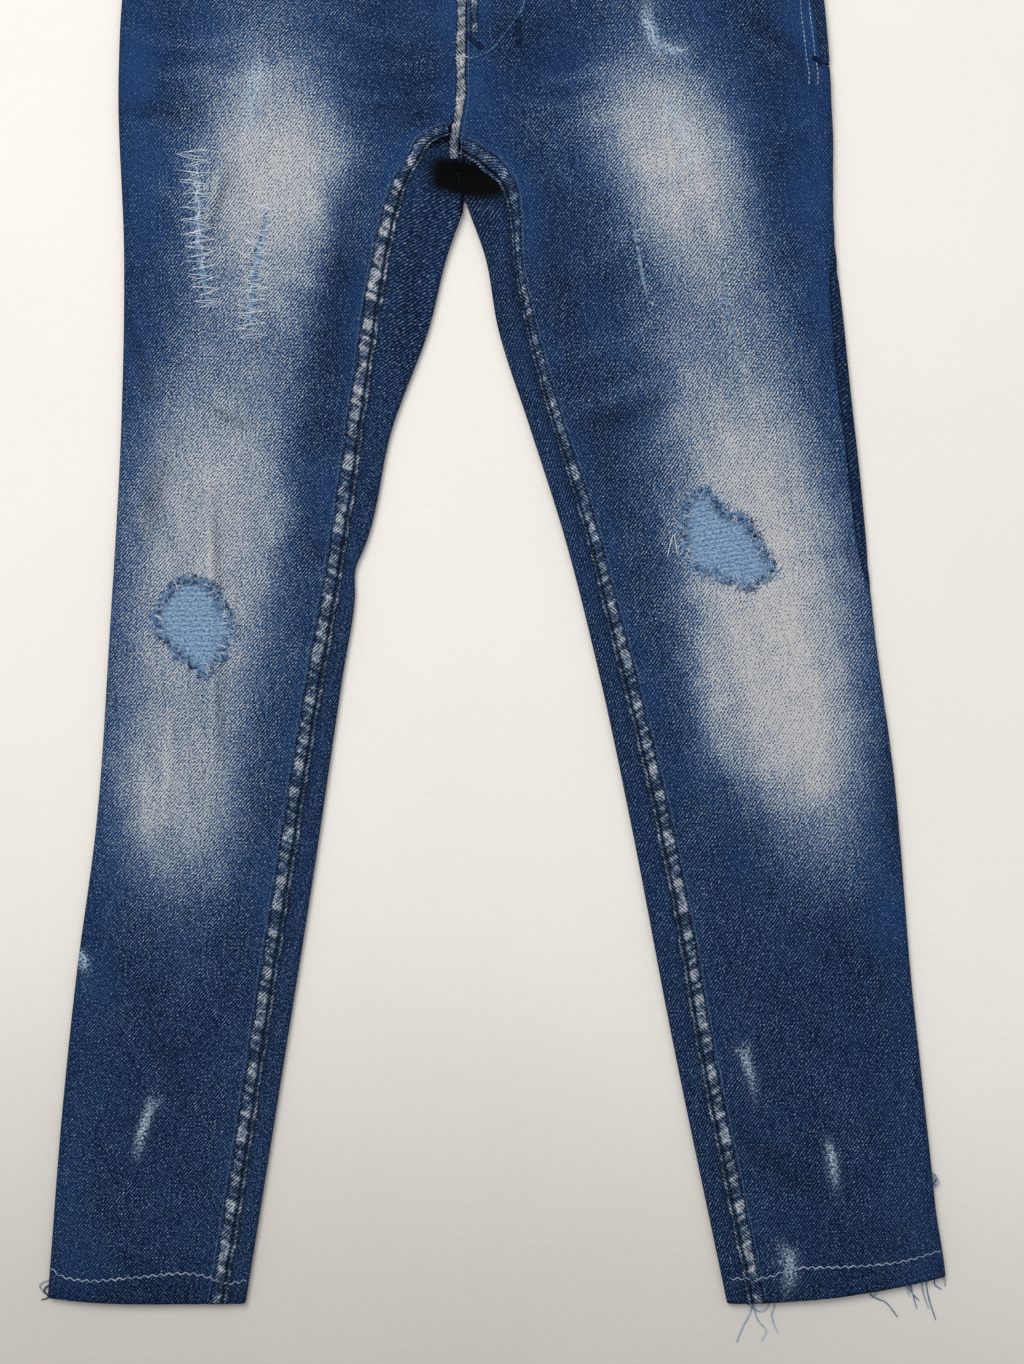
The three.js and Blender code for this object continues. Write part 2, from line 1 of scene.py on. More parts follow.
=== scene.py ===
"""Ripped and mended jeans lying flat on their back, front up, on a pale cloth.

The garment's shape is worked out in millimetres as lines x(y) up the garment
and heights over them, and every piece is made from that one shape: panels are
grids laid over it, and seams, stitches and threads follow it. Meshes are in
metres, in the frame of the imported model: +Z up, +Y towards the waist, +X
towards the wearer's left.
"""

from __future__ import annotations

import logging
import math
from dataclasses import dataclass
from enum import Enum
from typing import Callable, Sequence

import bmesh
import bpy
import numpy as np
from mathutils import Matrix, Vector

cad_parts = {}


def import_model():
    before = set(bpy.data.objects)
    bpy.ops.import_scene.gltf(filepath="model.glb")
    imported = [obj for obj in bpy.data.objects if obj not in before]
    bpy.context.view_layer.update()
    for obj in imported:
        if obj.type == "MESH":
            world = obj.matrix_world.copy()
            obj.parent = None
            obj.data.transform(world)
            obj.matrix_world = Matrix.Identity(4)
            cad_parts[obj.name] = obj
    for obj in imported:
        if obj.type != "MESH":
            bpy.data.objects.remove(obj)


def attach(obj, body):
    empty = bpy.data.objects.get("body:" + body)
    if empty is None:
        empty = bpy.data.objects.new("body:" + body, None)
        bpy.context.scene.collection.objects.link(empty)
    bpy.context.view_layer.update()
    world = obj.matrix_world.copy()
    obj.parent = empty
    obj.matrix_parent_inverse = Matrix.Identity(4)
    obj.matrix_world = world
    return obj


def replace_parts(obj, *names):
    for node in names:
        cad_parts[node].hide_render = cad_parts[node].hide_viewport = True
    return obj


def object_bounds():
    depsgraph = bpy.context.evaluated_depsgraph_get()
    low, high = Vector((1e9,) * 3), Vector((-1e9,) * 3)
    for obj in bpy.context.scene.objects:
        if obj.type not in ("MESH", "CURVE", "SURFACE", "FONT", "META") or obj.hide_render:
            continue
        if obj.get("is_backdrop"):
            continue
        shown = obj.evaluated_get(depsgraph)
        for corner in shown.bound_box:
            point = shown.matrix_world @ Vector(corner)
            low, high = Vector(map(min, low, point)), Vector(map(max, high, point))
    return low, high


log = logging.getLogger("jeans")

MM = 0.001
CLOTH = 1.1  # one layer of denim
HEM_Y = -512.0  # lower edge of the legs
CROTCH_Y = 231.0  # where the inner edges of the legs meet
CB_X = -21.0  # centre back seam
WAIST_Y = 474.0  # waistband seam
TOP_Y = 514.0  # upper edge of the waistband
FRONT_DIP = 12.0  # the front waist hangs lower at its middle
LEG_TOP = 6.4  # height of the cloth's upper face along the legs
HIP_TOP = 9.0
WAIST_TOP = 10.2
WAIST_BACK = 2.1  # the lifted back of the waist
POCKET_LIFT = 1.5  # the seat is lifted over the back pockets
YOKE_Y = 425  # yoke seam at the side seams
LEG_MIDDLE = 3.0  # between the two layers of a leg
SEAM_GAP = 0.3  # between two pieces that are sewn together
THREAD_END = 0.35  # what is left of a thread's radius at its ends
SEED = 7

Array = np.ndarray
Material = bpy.types.Material
Socket = bpy.types.NodeSocket
Piece = bpy.types.Object
Line = tuple[tuple[float, float], ...]  # plan points (x, y) in mm
# Laid's last array holds the fading, vivid blue, painted shade and scuffs of each point
Laid = tuple[Array, Array, Array]  # points and flat cloth positions in mm, and wear
Place = Callable[[Array, Array], Laid]


# ---------------------------------------------------------------- numbers
def smooth(t: Array) -> Array:
    """Returns an ease from 0 to 1, flat at both ends."""
    t = np.clip(t, 0.0, 1.0)
    return t * t * (3 - 2 * t)


def ramp(a: float, b: float, t: Array) -> Array:
    """Returns an ease from 0 at a to 1 at b."""
    return smooth((np.asarray(t, float) - a) / (b - a))


def bell(d: Array, w: float, power: float = 2.0) -> Array:
    """Returns a bump that is 1 at d = 0 and falls away over w."""
    return np.exp(-np.abs(d / w) ** power)


def ripple(x: Array, y: Array, size: float, turn: float = 0.0) -> Array:
    """A soft uneven pattern made of a few crossing waves.

    Args:
        x: across the garment, in mm.
        y: up the garment, in mm.
        size: the length of a typical swell, in mm.
        turn: shifts the pattern, so that two uses differ.

    Returns:
        Values from about -1 to 1.
    """
    k = 2 * math.pi / size
    total = np.zeros(np.broadcast(x, y).shape)
    for n, (a, b, p) in enumerate(
        ((0.9, 0.45, 0.3), (-0.5, 0.85, 1.9), (0.25, -1.2, 4.1), (1.35, 0.3, 2.6), (-1.1, -0.7, 5.2))
    ):
        total = total + np.sin(k * (a * x + b * y) + p + turn * (n + 1.3)) / (1 + 0.3 * n)
    return total / 2.6


def columns(*parts: Array | float) -> Array:
    """Returns numbers side by side, as the last axis of one array."""
    return np.stack(np.broadcast_arrays(*parts), axis=-1)


class Curve:
    """A smooth line value(y) through a few (y, value) points."""

    def __init__(self, *points: tuple[float, float]) -> None:
        """Samples the line once.

        Args:
            points: (y, x) or (y, value) pairs, from the lowest y up.
        """
        y = np.array([p[0] for p in points], float)
        v = np.array([p[1] for p in points], float)
        slope = np.gradient(v, y) if len(points) > 2 else np.full(2, (v[1] - v[0]) / (y[1] - y[0]))
        self.y = np.linspace(y[0], y[-1], 900)
        i = np.clip(np.searchsorted(y, self.y, side="right") - 1, 0, len(points) - 2)
        h = y[i + 1] - y[i]
        t = (self.y - y[i]) / h
        self.v = (
            (2 * t**3 - 3 * t**2 + 1) * v[i]
            + (t**3 - 2 * t**2 + t) * h * slope[i]
            + (3 * t**2 - 2 * t**3) * v[i + 1]
            + (t**3 - t**2) * h * slope[i + 1]
        )

    def __call__(self, y: Array) -> Array:
        """Returns the value at y, held level past both ends."""
        return np.interp(y, self.y, self.v)


# ---------------------------------------------------------------- the legs
@dataclass(frozen=True)
class Leg:
    """The lines of one leg, all as x(y) in mm.

    side is the sign of x on the outer edge. seam_at is where the side seam
    runs, as a distance from the outermost line, negative underneath. fade is
    the middle of the worn stretch, with its half width and its strength.
    """

    name: str
    side: int
    outer: Curve
    inner: Curve
    inseam: Curve
    seam_at: Curve
    hem_rise: float
    hem_from: float
    hem_to: float
    fade_x: Curve
    fade_width: Curve
    fade_strength: Curve

    def hem_tilt(self, x: Array, y: Array) -> Array:
        """Returns how far the cloth is pulled up near the hem."""
        share = np.clip((np.asarray(x, float) - self.hem_from) / (self.hem_to - self.hem_from), 0, 1.1)
        return self.hem_rise * share**2 * ramp(-440, HEM_Y, y)


RIGHT = Leg(
    name="right",
    side=-1,
    outer=Curve(
        (HEM_Y, -306), (-392, -297), (-290, -286.5), (-188, -273), (-52, -263.5), (84, -256),
        (203, -254), (322, -257.4), (375, -255), (474, -237), (TOP_Y, -234),
    ),
    inner=Curve(
        (HEM_Y, -171), (-358, -146.5), (-222, -125), (-86, -105), (-30, -96.5), (-12, -96),
        (4, -89.5), (84, -71), (152, -46), (203, -33), (CROTCH_Y, -22.8),
    ),
    inseam=Curve(
        (HEM_Y, -191), (-378, -170), (-279, -155), (-131, -132), (-7, -111), (120, -92.5),
        (186, -82.6), (231, -73), (250, -66.5), (268, -56), (279, -49), (284, -41), (287, -33),
        (294, -28.5), (330, -23), (375, -19), (TOP_Y, -17),
    ),
    seam_at=Curve((HEM_Y, -5), (TOP_Y, -5)),
    hem_rise=4,
    hem_from=-240,
    hem_to=-306,
    fade_x=Curve(
        (-265, -212), (-156, -215), (-74, -206), (7, -198), (89, -188), (143, -174), (198, -158),
        (252, -150), (307, -152), (400, -158),
    ),
    fade_width=Curve(
        (-265, 40), (-183, 50), (-74, 58), (35, 59), (116, 58), (198, 54), (279, 56), (340, 44),
        (400, 36),
    ),
    fade_strength=Curve(
        (-330, 0), (-265, 0.1), (-237, 0.26), (-210, 0.52), (-170, 0.74), (-90, 0.72), (-20, 0.8),
        (40, 0.84), (89, 0.64), (130, 0.48), (171, 0.5), (210, 0.76), (252, 0.92), (290, 0.8), (330, 0.45),
        (375, 0.24), (430, 0.1),
    ),
)
LEFT = Leg(
    name="left",
    side=1,
    outer=Curve(
        (HEM_Y, 306), (-392, 293.4), (-290, 282.5), (-154, 271), (-52, 257.4), (50, 248),
        (152, 237), (220, 230), (288, 229), (375, 223), (474, 206), (TOP_Y, 203),
    ),
    inner=Curve(
        (HEM_Y, 157), (-324, 118), (-188, 92), (-86, 70.4), (16, 44.5), (84, 22.8), (152, 1),
        (203, -8.5), (CROTCH_Y, -18.7),
    ),
    inseam=Curve(
        (HEM_Y, 178.5), (-435, 163), (-344, 144.5), (-233, 125), (-133, 103), (-54, 83), (30, 61),
        (94, 40.5), (158, 23), (197, 15.3), (228, 13.5), (239, 12), (249, 9.2), (258, 3.5), (264, -3),
        (270, -11), (276, -22), (281, -29), (296, -28), (330, -23), (375, -19), (TOP_Y, -17),
    ),
    seam_at=Curve(
        (HEM_Y, -5), (-80, -5), (-45, -1), (-10, 6.5), (60, 10), (150, 10), (186, 8), (218, 1),
        (245, -4.5), (TOP_Y, -5),
    ),
    hem_rise=18.5,
    hem_from=157,
    hem_to=306,
    fade_x=Curve(
        (-240, 228), (-183, 217), (-129, 201), (-74, 190), (7, 180), (62, 170), (116, 159),
        (171, 148), (225, 132), (279, 118), (334, 106), (400, 98),
    ),
    fade_width=Curve(
        (-240, 34), (-183, 40), (-129, 54), (-47, 62), (62, 57), (143, 50), (198, 44), (279, 50),
        (340, 40), (400, 34),
    ),
    fade_strength=Curve(
        (-330, 0), (-240, 0.1), (-210, 0.36), (-183, 0.56), (-150, 0.84), (-110, 0.98), (-60, 0.98),
        (40, 0.86), (80, 0.76), (130, 0.58), (180, 0.6), (240, 0.84), (285, 0.86), (320, 0.6),
        (350, 0.28), (420, 0.1),
    ),
)
LEGS = (RIGHT, LEFT)


def leg_of(x: Array, y: Array) -> Array:
    """Returns True where a point of the plan belongs to the wearer's left leg."""
    middle = np.interp(y, [CROTCH_Y - 60, CROTCH_Y, 280, 330, TOP_Y], [-21, -21, -31, -23, -17])
    return np.asarray(x) > middle


def pick(x: Array, y: Array, line: Callable[[Leg], Array]) -> Array:
    """Returns line(leg) for the leg that each point belongs to."""
    return np.where(leg_of(x, y), line(LEFT), line(RIGHT))


# ---------------------------------------------------------------- relief
@dataclass(frozen=True)
class Crease:
    """A soft ridge, or a dip where height is negative, along a line in mm."""

    points: Line
    width: float
    height: float

    def profile(self, x: Array, y: Array) -> Array:
        """How much of the crease is at each point of the plan.

        Args:
            x: across the garment, in mm.
            y: up the garment, in mm.

        Returns:
            Values from 0 to 1.
        """
        total = np.zeros(np.broadcast(x, y).shape)
        count = len(self.points) - 1
        for n in range(count):
            (ax, ay), (bx, by) = self.points[n], self.points[n + 1]
            dx, dy = bx - ax, by - ay
            t = np.clip(((x - ax) * dx + (y - ay) * dy) / (dx * dx + dy * dy), 0, 1)
            gap = np.hypot(x - ax - t * dx, y - ay - t * dy)
            run = (n + t) / count
            total = np.maximum(total, bell(gap, self.width) * np.sin(np.pi * (0.06 + 0.88 * run)) ** 0.7)
        return total


CREASES = tuple(Crease(*row) for row in (
    # wearer's right leg
    (((-252, 168), (-243, 133), (-234, 98)), 5, -1.6),
    (((-196, 100), (-184, 90), (-168, 84)), 4, -1.0),
    (((-196, 64), (-195, 10), (-193, -60), (-193, -150)), 2.4, 1.4),
    (((-191, 40), (-188, -60), (-188, -141)), 3.5, -0.7),
    (((-186, 264), (-194, 238), (-203, 208)), 2.0, 0.9),
    (((-180, 262), (-188, 236), (-198, 204)), 3.0, -0.8),
    (((-222, -110), (-224, -150), (-228, -190)), 2.4, 0.8),
    (((-240, -150), (-236, -200)), 6, 0.9),
    (((-208, -270), (-216, -330)), 8, 0.8),
    (((-226, 60), (-240, 10)), 8, -0.8),
    (((-120, 60), (-150, 20), (-160, -30)), 10, 0.7),
    (((-98, -12), (-112, -8), (-128, 2)), 5, -1.3),
    (((-96, -40), (-112, -52)), 5, 0.8),
    (((-250, 330), (-180, 318), (-130, 326)), 7, 0.8),
    (((-252, 300), (-200, 292)), 6, -0.7),
    (((-120, 345), (-60, 330), (-36, 322)), 6, 0.9),
    (((-110, 318), (-70, 312), (-38, 306)), 5, 0.8),
    (((-100, 296), (-76, 300), (-46, 296)), 4, -0.8),
    (((-110, 150), (-150, 168), (-180, 176)), 10, 0.7),
    (((-108, 210), (-128, 236)), 9, 0.6),
    (((-286, -300), (-250, -330), (-220, -380)), 10, 0.6),
    (((-180, -330), (-200, -420)), 9, 0.6),
    # wearer's left leg
    (((236, 6), (246, -14)), 4, -1.2),
    (((225, 250), (214, 214), (206, 170)), 7, 0.8),
    (((60, 110), (90, 130), (130, 150)), 10, 0.8),
    (((50, 80), (84, 92), (120, 100)), 8, -0.6),
    (((24, 300), (60, 290), (90, 296)), 6, 0.7),
    (((10, 320), (50, 318), (80, 330)), 6, 0.7),
    (((4, 300), (28, 284), (44, 250)), 6, 0.9),
    (((150, 190), (160, 150), (170, 116)), 4, 1.0),
    (((188, -18), (206, -90), (230, -220)), 7, 1.0),
    (((140, -60), (150, -130), (170, -190)), 9, 0.7),
    (((100, 60), (120, 90), (140, 130)), 8, 0.6),
    (((200, -330), (232, -370), (250, -430)), 9, 0.7),
    (((150, -380), (190, -420), (224, -440)), 9, -0.6),
    (((170, 360), (200, 340), (216, 310)), 7, -0.6),
    (((262, -120), (270, -210)), 7, -0.7),
    (((130, -225), (176, -250), (226, -244)), 10, 0.5),
))


def edge_top(y: Array) -> Array:
    """Returns the height of the upper face at the side folds."""
    return LEG_TOP + (HIP_TOP - LEG_TOP) * ramp(150, 320, y) + (WAIST_TOP - HIP_TOP) * ramp(410, 465, y)


def edge_back(y: Array) -> Array:
    """Returns the height of the garment's lowest face at the side folds."""
    return WAIST_BACK * ramp(418, 460, y)


def back_height(x: Array, y: Array) -> Array:
    """Returns the height of the lowest face, which rests on z = 0 along the legs."""
    across = 1 - ramp(200, 226, np.abs(x + 14))
    return np.maximum(edge_back(y), POCKET_LIFT * ramp(184, 212, y) * across)


def top_height(x: Array, y: Array) -> Array:
    """The height of the cloth's upper face over points of the plan.

    Args:
        x: across the garment, in mm.
        y: up the garment, in mm.

    Returns:
        Heights in mm.
    """
    outside = np.abs(x - pick(x, y, lambda leg: leg.outer(y)))
    low = np.minimum(y, CROTCH_Y)
    inside = np.abs(x - pick(x, y, lambda leg: leg.inner(low))) + np.maximum(0, y - CROTCH_Y) * 0.5
    seam = np.abs(x - pick(x, y, lambda leg: leg.inseam(y)))
    edge = smooth(outside / 34) * smooth(inside / 30) * (1 - ramp(380, 440, y))
    swell = edge * (1.2 + 0.7 * ripple(x, y, 170) + 0.45 * ripple(x, y, 62, 2.0))
    relief = sum(c.height * c.profile(x, y) for c in CREASES)
    fine = 0.16 * ripple(x, y, 21, 5.0) + 0.1 * ripple(x, y, 11, 9.0)
    hollow = 4.6 * np.exp(-(((x + 19) / 21) ** 2) - ((y - 252) / 10) ** 2)
    dip_by_seam = 0.5 * bell(seam - 8.5, 3) * (1 - ramp(225, 260, y))
    return edge_top(y) + swell + edge * (relief + fine) - hollow - dip_by_seam


def front_dip(x: Array, y: Array) -> Array:
    """Returns how far the front waist hangs below the back one."""
    share = np.minimum(1, np.abs(x + 16) / 218) * math.pi / 2
    return FRONT_DIP * ramp(330, 470, y) * np.cos(share) ** 2


def on_front(x: Array, y: Array, lift: float = 0.0) -> Array:
    """Points of the garment's upper face.

    Args:
        x: across the garment, in mm.
        y: up the garment, in mm, before the hem's tilt and the waist's dip.
        lift: how far above the cloth, in mm.

    Returns:
        Points in mm, with the three coordinates last.
    """
    x, y = np.broadcast_arrays(np.asarray(x, float), np.asarray(y, float))
    tilt = pick(x, y, lambda leg: leg.hem_tilt(x, y))
    return columns(x, y + tilt - front_dip(x, y), top_height(x, y) + lift)


def round_fold(leg: Leg, y: Array, s: Array, outer: bool) -> Array:
    """Points at a distance from the outermost line of a leg's fold.

    Args:
        leg: the leg.
        y: up the garment, in mm.
        s: distance in mm, positive over the front, negative underneath.
        outer: the outer fold, or else the inner one.

    Returns:
        An array of points in mm on the cloth's outer face.
    """
    y, s = np.broadcast_arrays(np.asarray(y, float), np.asarray(s, float))
    edge = leg.outer(y) if outer else leg.inner(y)
    inward = -leg.side if outer else leg.side
    low = edge_back(y) if outer else back_height(edge, y)
    high = edge_top(y) if outer else top_height(edge, y)
    r = (high - low) / 2
    quarter = r * math.pi / 2
    angle = np.clip(s / r, -math.pi / 2, math.pi / 2)
    flat = np.maximum(0, np.abs(s) - quarter)
    x = edge + inward * (r - r * np.cos(angle) + flat)
    on_top = top_height(x, y) - np.where(outer, edge_top(y), 0) - np.where(outer, 0, high)
    under = back_height(x, y) - low
    z = low + r + r * np.sin(angle) + np.where(s > quarter, on_top, 0) + np.where(s < -quarter, under, 0)
    dip = np.where(s > 0, front_dip(x, y), 0)
    return columns(x, y + leg.hem_tilt(x, y) - dip, z)


def fold_radius(y: Array) -> Array:
    """Returns the radius of the outer folds."""
    return (edge_top(y) - edge_back(y)) / 2


def reach(leg: Leg, y: Array, x: Array) -> Array:
    """Returns the distance over the front from the outer fold's outermost line to x."""
    r = fold_radius(y)
    return np.abs(leg.outer(y) - x) - r + r * math.pi / 2


def underneath(leg: Leg, y: Array, u: Array, centre: Array | float) -> tuple[Array, Array]:
    """Lays cloth under the seat, from a centre line to the side seam.

    Args:
        leg: whose side it is.
        y: up the garment, in mm.
        u: 0 at the centre line and 1 at the side seam.
        centre: the centre line's x, in mm.

    Returns:
        The points, and their distances from the centre line, in mm.
    """
    r = fold_radius(y)
    span = np.abs(leg.outer(y) - centre) - r + r * math.pi / 2
    d = u * (span + leg.seam_at(y) - SEAM_GAP)
    x = centre + leg.side * d
    near = columns(x, y, back_height(x, y))
    return np.where((d < span - 30)[:, None], near, round_fold(leg, y, d - span, True)), d


# ---------------------------------------------------------------- fading, scuffs and painted shade
# rubbed or bleached spots: points and a half width in mm, and a strength
SCUFFS = (
    (((-165, 344), (-160, 330), (-166, 310), (-168, 290), (-160, 280)), 8, 0.62),
    (((-174, 330), (-150, 322)), 9, 0.5),
    (((101, 378), (102, 360), (107, 346), (112, 334)), 6, 0.85),
    (((104, 346), (120, 340), (131, 338)), 4, 0.8),
    (((112, 312), (119, 298), (127, 281), (130, 268)), 6, 0.6),
    (((142, 268), (128, 264), (118, 254)), 4, 0.6),
    (((-286, -270), (-281, -278), (-280, -287)), 5, 0.85),
    (((-234, -368), (-236, -380), (-242, -398), (-245, -414)), 4.5, 0.8),
    (((-226, -370), (-238, -384)), 3, 0.6),
    (((-200, -279), (-192, -280), (-191, -288), (-196, -292), (-200, -280)), 1.2, 0.3),
    (((161, -336), (168, -342), (172, -354), (176, -374)), 4.5, 0.75),
    (((168, -332), (174, -344)), 3, 0.6),
    (((224, -398), (228, -412), (231, -436)), 4.5, 0.8),
    (((190, -470), (199, -478), (200, -490), (196, -508)), 6, 0.75),
    (((186, -484), (206, -482)), 3, 0.6),
)

# whiskers: pale streaks worn in at the hips and the crotch, in mm
WHISKERS = (
    (((-252, 352), (-210, 342), (-172, 348)), 5, 0.2),
    (((-250, 318), (-214, 322), (-190, 330)), 5, 0.16),
    (((-246, 288), (-216, 296)), 5, 0.15),
    (((-120, 372), (-84, 352), (-50, 346)), 6, 0.2),
    (((-124, 340), (-92, 326), (-44, 330)), 5, 0.2),
    (((-116, 316), (-84, 306), (-40, 308)), 3.5, 0.22),
    (((-98, 300), (-72, 298), (-44, 300)), 2.5, 0.2),
    (((-70, 285), (-54, 283), (-38, 285)), 1.5, 0.26),
    (((-74, 277), (-58, 276), (-40, 273)), 1.5, 0.26),
    (((-66, 270), (-52, 269), (-40, 265)), 1.3, 0.2),
    (((30, 296), (44, 284), (48, 262), (50, 244)), 1.6, 0.16),
    (((12, 330), (44, 318), (76, 330)), 5, 0.18),
    (((2, 306), (34, 302), (66, 306)), 4, 0.18),
    (((20, 292), (38, 276), (46, 250)), 4, 0.14),
    (((176, 344), (200, 330), (218, 322)), 5, 0.12),
    (((168, 300), (196, 288), (220, 286)), 5, 0.12),
    (((36, 130), (70, 138), (104, 150)), 7, 0.16),
    (((44, 96), (78, 106), (108, 118)), 6, 0.14),
    (((50, 190), (80, 206), (104, 226)), 7, 0.12),
    (((-104, 176), (-132, 186), (-160, 190)), 7, 0.14),
    (((-128, -60), (-150, -70)), 8, 0.1),
    (((-236, 250), (-216, 236), (-206, 200)), 8, 0.12),
)


# broad patches that are darker or paler than the wear around them: centre, half sizes and amount
TONES = (
    ((-78, 322), (36, 36), -0.17), ((-60, 306), (20, 20), -0.06), ((34, 332), (30, 26), -0.16),
    ((62, 288), (16, 16), 0.1), ((150, 150), (30, 46), -0.1), ((192, 280), (20, 50), -0.14),
    ((165, 30), (30, 60), 0.05), ((-106, 180), (16, 70), -0.16), ((-128, 60), (14, 50), -0.1),
    ((-226, 330), (30, 30), -0.08), ((-200, 20), (40, 40), -0.1),
    ((-200, -120), (36, 40), -0.1), ((220, -190), (24, 30), -0.06), ((140, -150), (13, 60), 0.12),
    ((90, 20), (10, 60), 0.05), ((-240, -500), (90, 26), -0.08), ((240, -490), (80, 34), -0.05),
    ((-230, -350), (40, 70), -0.06), ((235, -350), (40, 120), -0.04), ((255, -120), (14, 60), -0.08),
)


def wear_and_shade_of(x: Array, y: Array) -> Array:
    """How faded and scuffed the front of the garment is at points of the plan, and the shade painted on it.

    Args:
        x: across the garment, in mm.
        y: up the garment, in mm.

    Returns:
        Four numbers a point: the fade, how bright the blue is, the painted
        shade (in the dips of creases, at the outer folds, along the hem, beside
        the inseam, in the crotch hollow and in the gap between the backs), and
        the scuffs.
    """
    off = pick(x, y, lambda leg: (x - leg.fade_x(y)) / leg.fade_width(y))
    strength = pick(x, y, lambda leg: leg.fade_strength(y))
    ragged = 1 + 0.07 * ripple(x, y, 46, 1.0) + 0.05 * ripple(x, y, 19, 3.0)
    fade = strength * np.exp(-np.abs(off * ragged) ** 2.7)
    fade = fade * (1 + 0.06 * ripple(x, y, 30, 6.0) + 0.05 * ripple(x * 2.4, y, 44, 8.0))
    for points, width, amount in WHISKERS:
        fade = fade + 0.8 * amount * Crease(points, width, 1).profile(x, y)
    ridge = sum(np.sign(c.height) * c.profile(x, y) for c in CREASES)
    fade = fade + 0.16 * np.maximum(0, ridge) * (0.35 + fade)
    seam = np.abs(x - pick(x, y, lambda leg: leg.inseam(y)))
    outside = np.abs(x - pick(x, y, lambda leg: leg.outer(y)))
    near_seam = bell(seam - 9, 8) * (0.75 + 0.25 * ripple(x, y, 60, 4.0))
    fade = fade * (1 - 0.35 * bell(seam - 24, 16))
    for (cx, cy), (rx, ry), amount in TONES:
        fade = fade + amount * np.exp(-(((x - cx) / rx) ** 2) - ((y - cy) / ry) ** 2)
    hips = ramp(120, 300, y) * 0.2
    bright = 0.34 * near_seam + hips + 0.4 * bell(outside - 14, 16) + 0.25 * ripple(x, y, 75, 7.0)
    bright = np.clip(bright, 0, 1) * (1 - 0.55 * ramp(-200, -330, y))
    # painted shade in the dips of creases, along the outer folds and along the hem
    painted_shade = 0.34 * np.maximum(0, -ridge) + 0.16 * bell(outside, 4) + 0.22 * bell(y + 511, 14)
    # painted shade in a band beside the inseam over the thighs
    painted_shade = painted_shade + 0.16 * bell(seam - 26, 12) * ramp(60, 150, y) * ramp(262, 230, y)
    inside_flap = pick(x, y, lambda leg: leg.side * (leg.inseam(y) - x)) > 0
    flap = np.where(inside_flap & (y < 290), 1.0, 0.0)
    fade = fade * (1 - flap)
    bright = bright * (1 - 0.5 * flap)
    # painted shade on the back's flap, deepest just beside the inseam
    painted_shade = painted_shade + flap * (0.06 + 0.4 * bell(seam - 5, 4))
    # painted shade in the crotch hollow and in the gap where the two backs meet
    painted_hollow_shade = np.exp(-(((x + 20.5) / 26) ** 4) - (np.abs((y - 253.5 + 0.16 * (x + 20.5)) / 13) ** 3))
    painted_gap_shadow = bell(x + 23, 2.2) * ramp(224, 232, y)
    painted_shade = np.clip(painted_shade + flap * np.maximum(1.4 * painted_hollow_shade, painted_gap_shadow), 0, 1)
    scuff = np.zeros(np.shape(fade))
    for points, width, strength in SCUFFS:
        scuff = np.maximum(scuff, strength * Crease(points, width, 1).profile(x, y))
    return columns(np.clip(fade, -0.1, 1), bright, painted_shade, scuff)


# ---------------------------------------------------------------- meshes
def put(name: str, data: bpy.types.ID) -> Piece:
    """Puts a mesh, a light or a camera in the scene.

    Args:
        name: the new object's name.
        data: what it shows.

    Returns:
        The new object.
    """
    thing = bpy.data.objects.new(name, data)
    bpy.context.scene.collection.objects.link(thing)
    return thing


def mesh_of(name: str, bm: bmesh.types.BMesh) -> bpy.types.Mesh:
    """Turns a finished bmesh into a mesh, and frees it.

    Args:
        name: the mesh's name.
        bm: the bmesh.

    Returns:
        The mesh.
    """
    mesh = bpy.data.meshes.new(name)
    bm.to_mesh(mesh)
    bm.free()
    return mesh


def bare_object(name: str, mesh: bpy.types.Mesh, material: Material) -> Piece:
    """Puts a finished mesh in the scene as a piece that rides on the garment.

    Args:
        name: the piece's name.
        mesh: its mesh, in metres, in place.
        material: its finish.

    Returns:
        The new object.
    """
    mesh.name = name
    mesh.materials.clear()
    mesh.materials.append(material)
    for face in mesh.polygons:
        face.use_smooth = True
    piece = put(name, mesh)
    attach(piece, "root")
    log.info("%s: %d faces", name, len(mesh.polygons))
    return piece


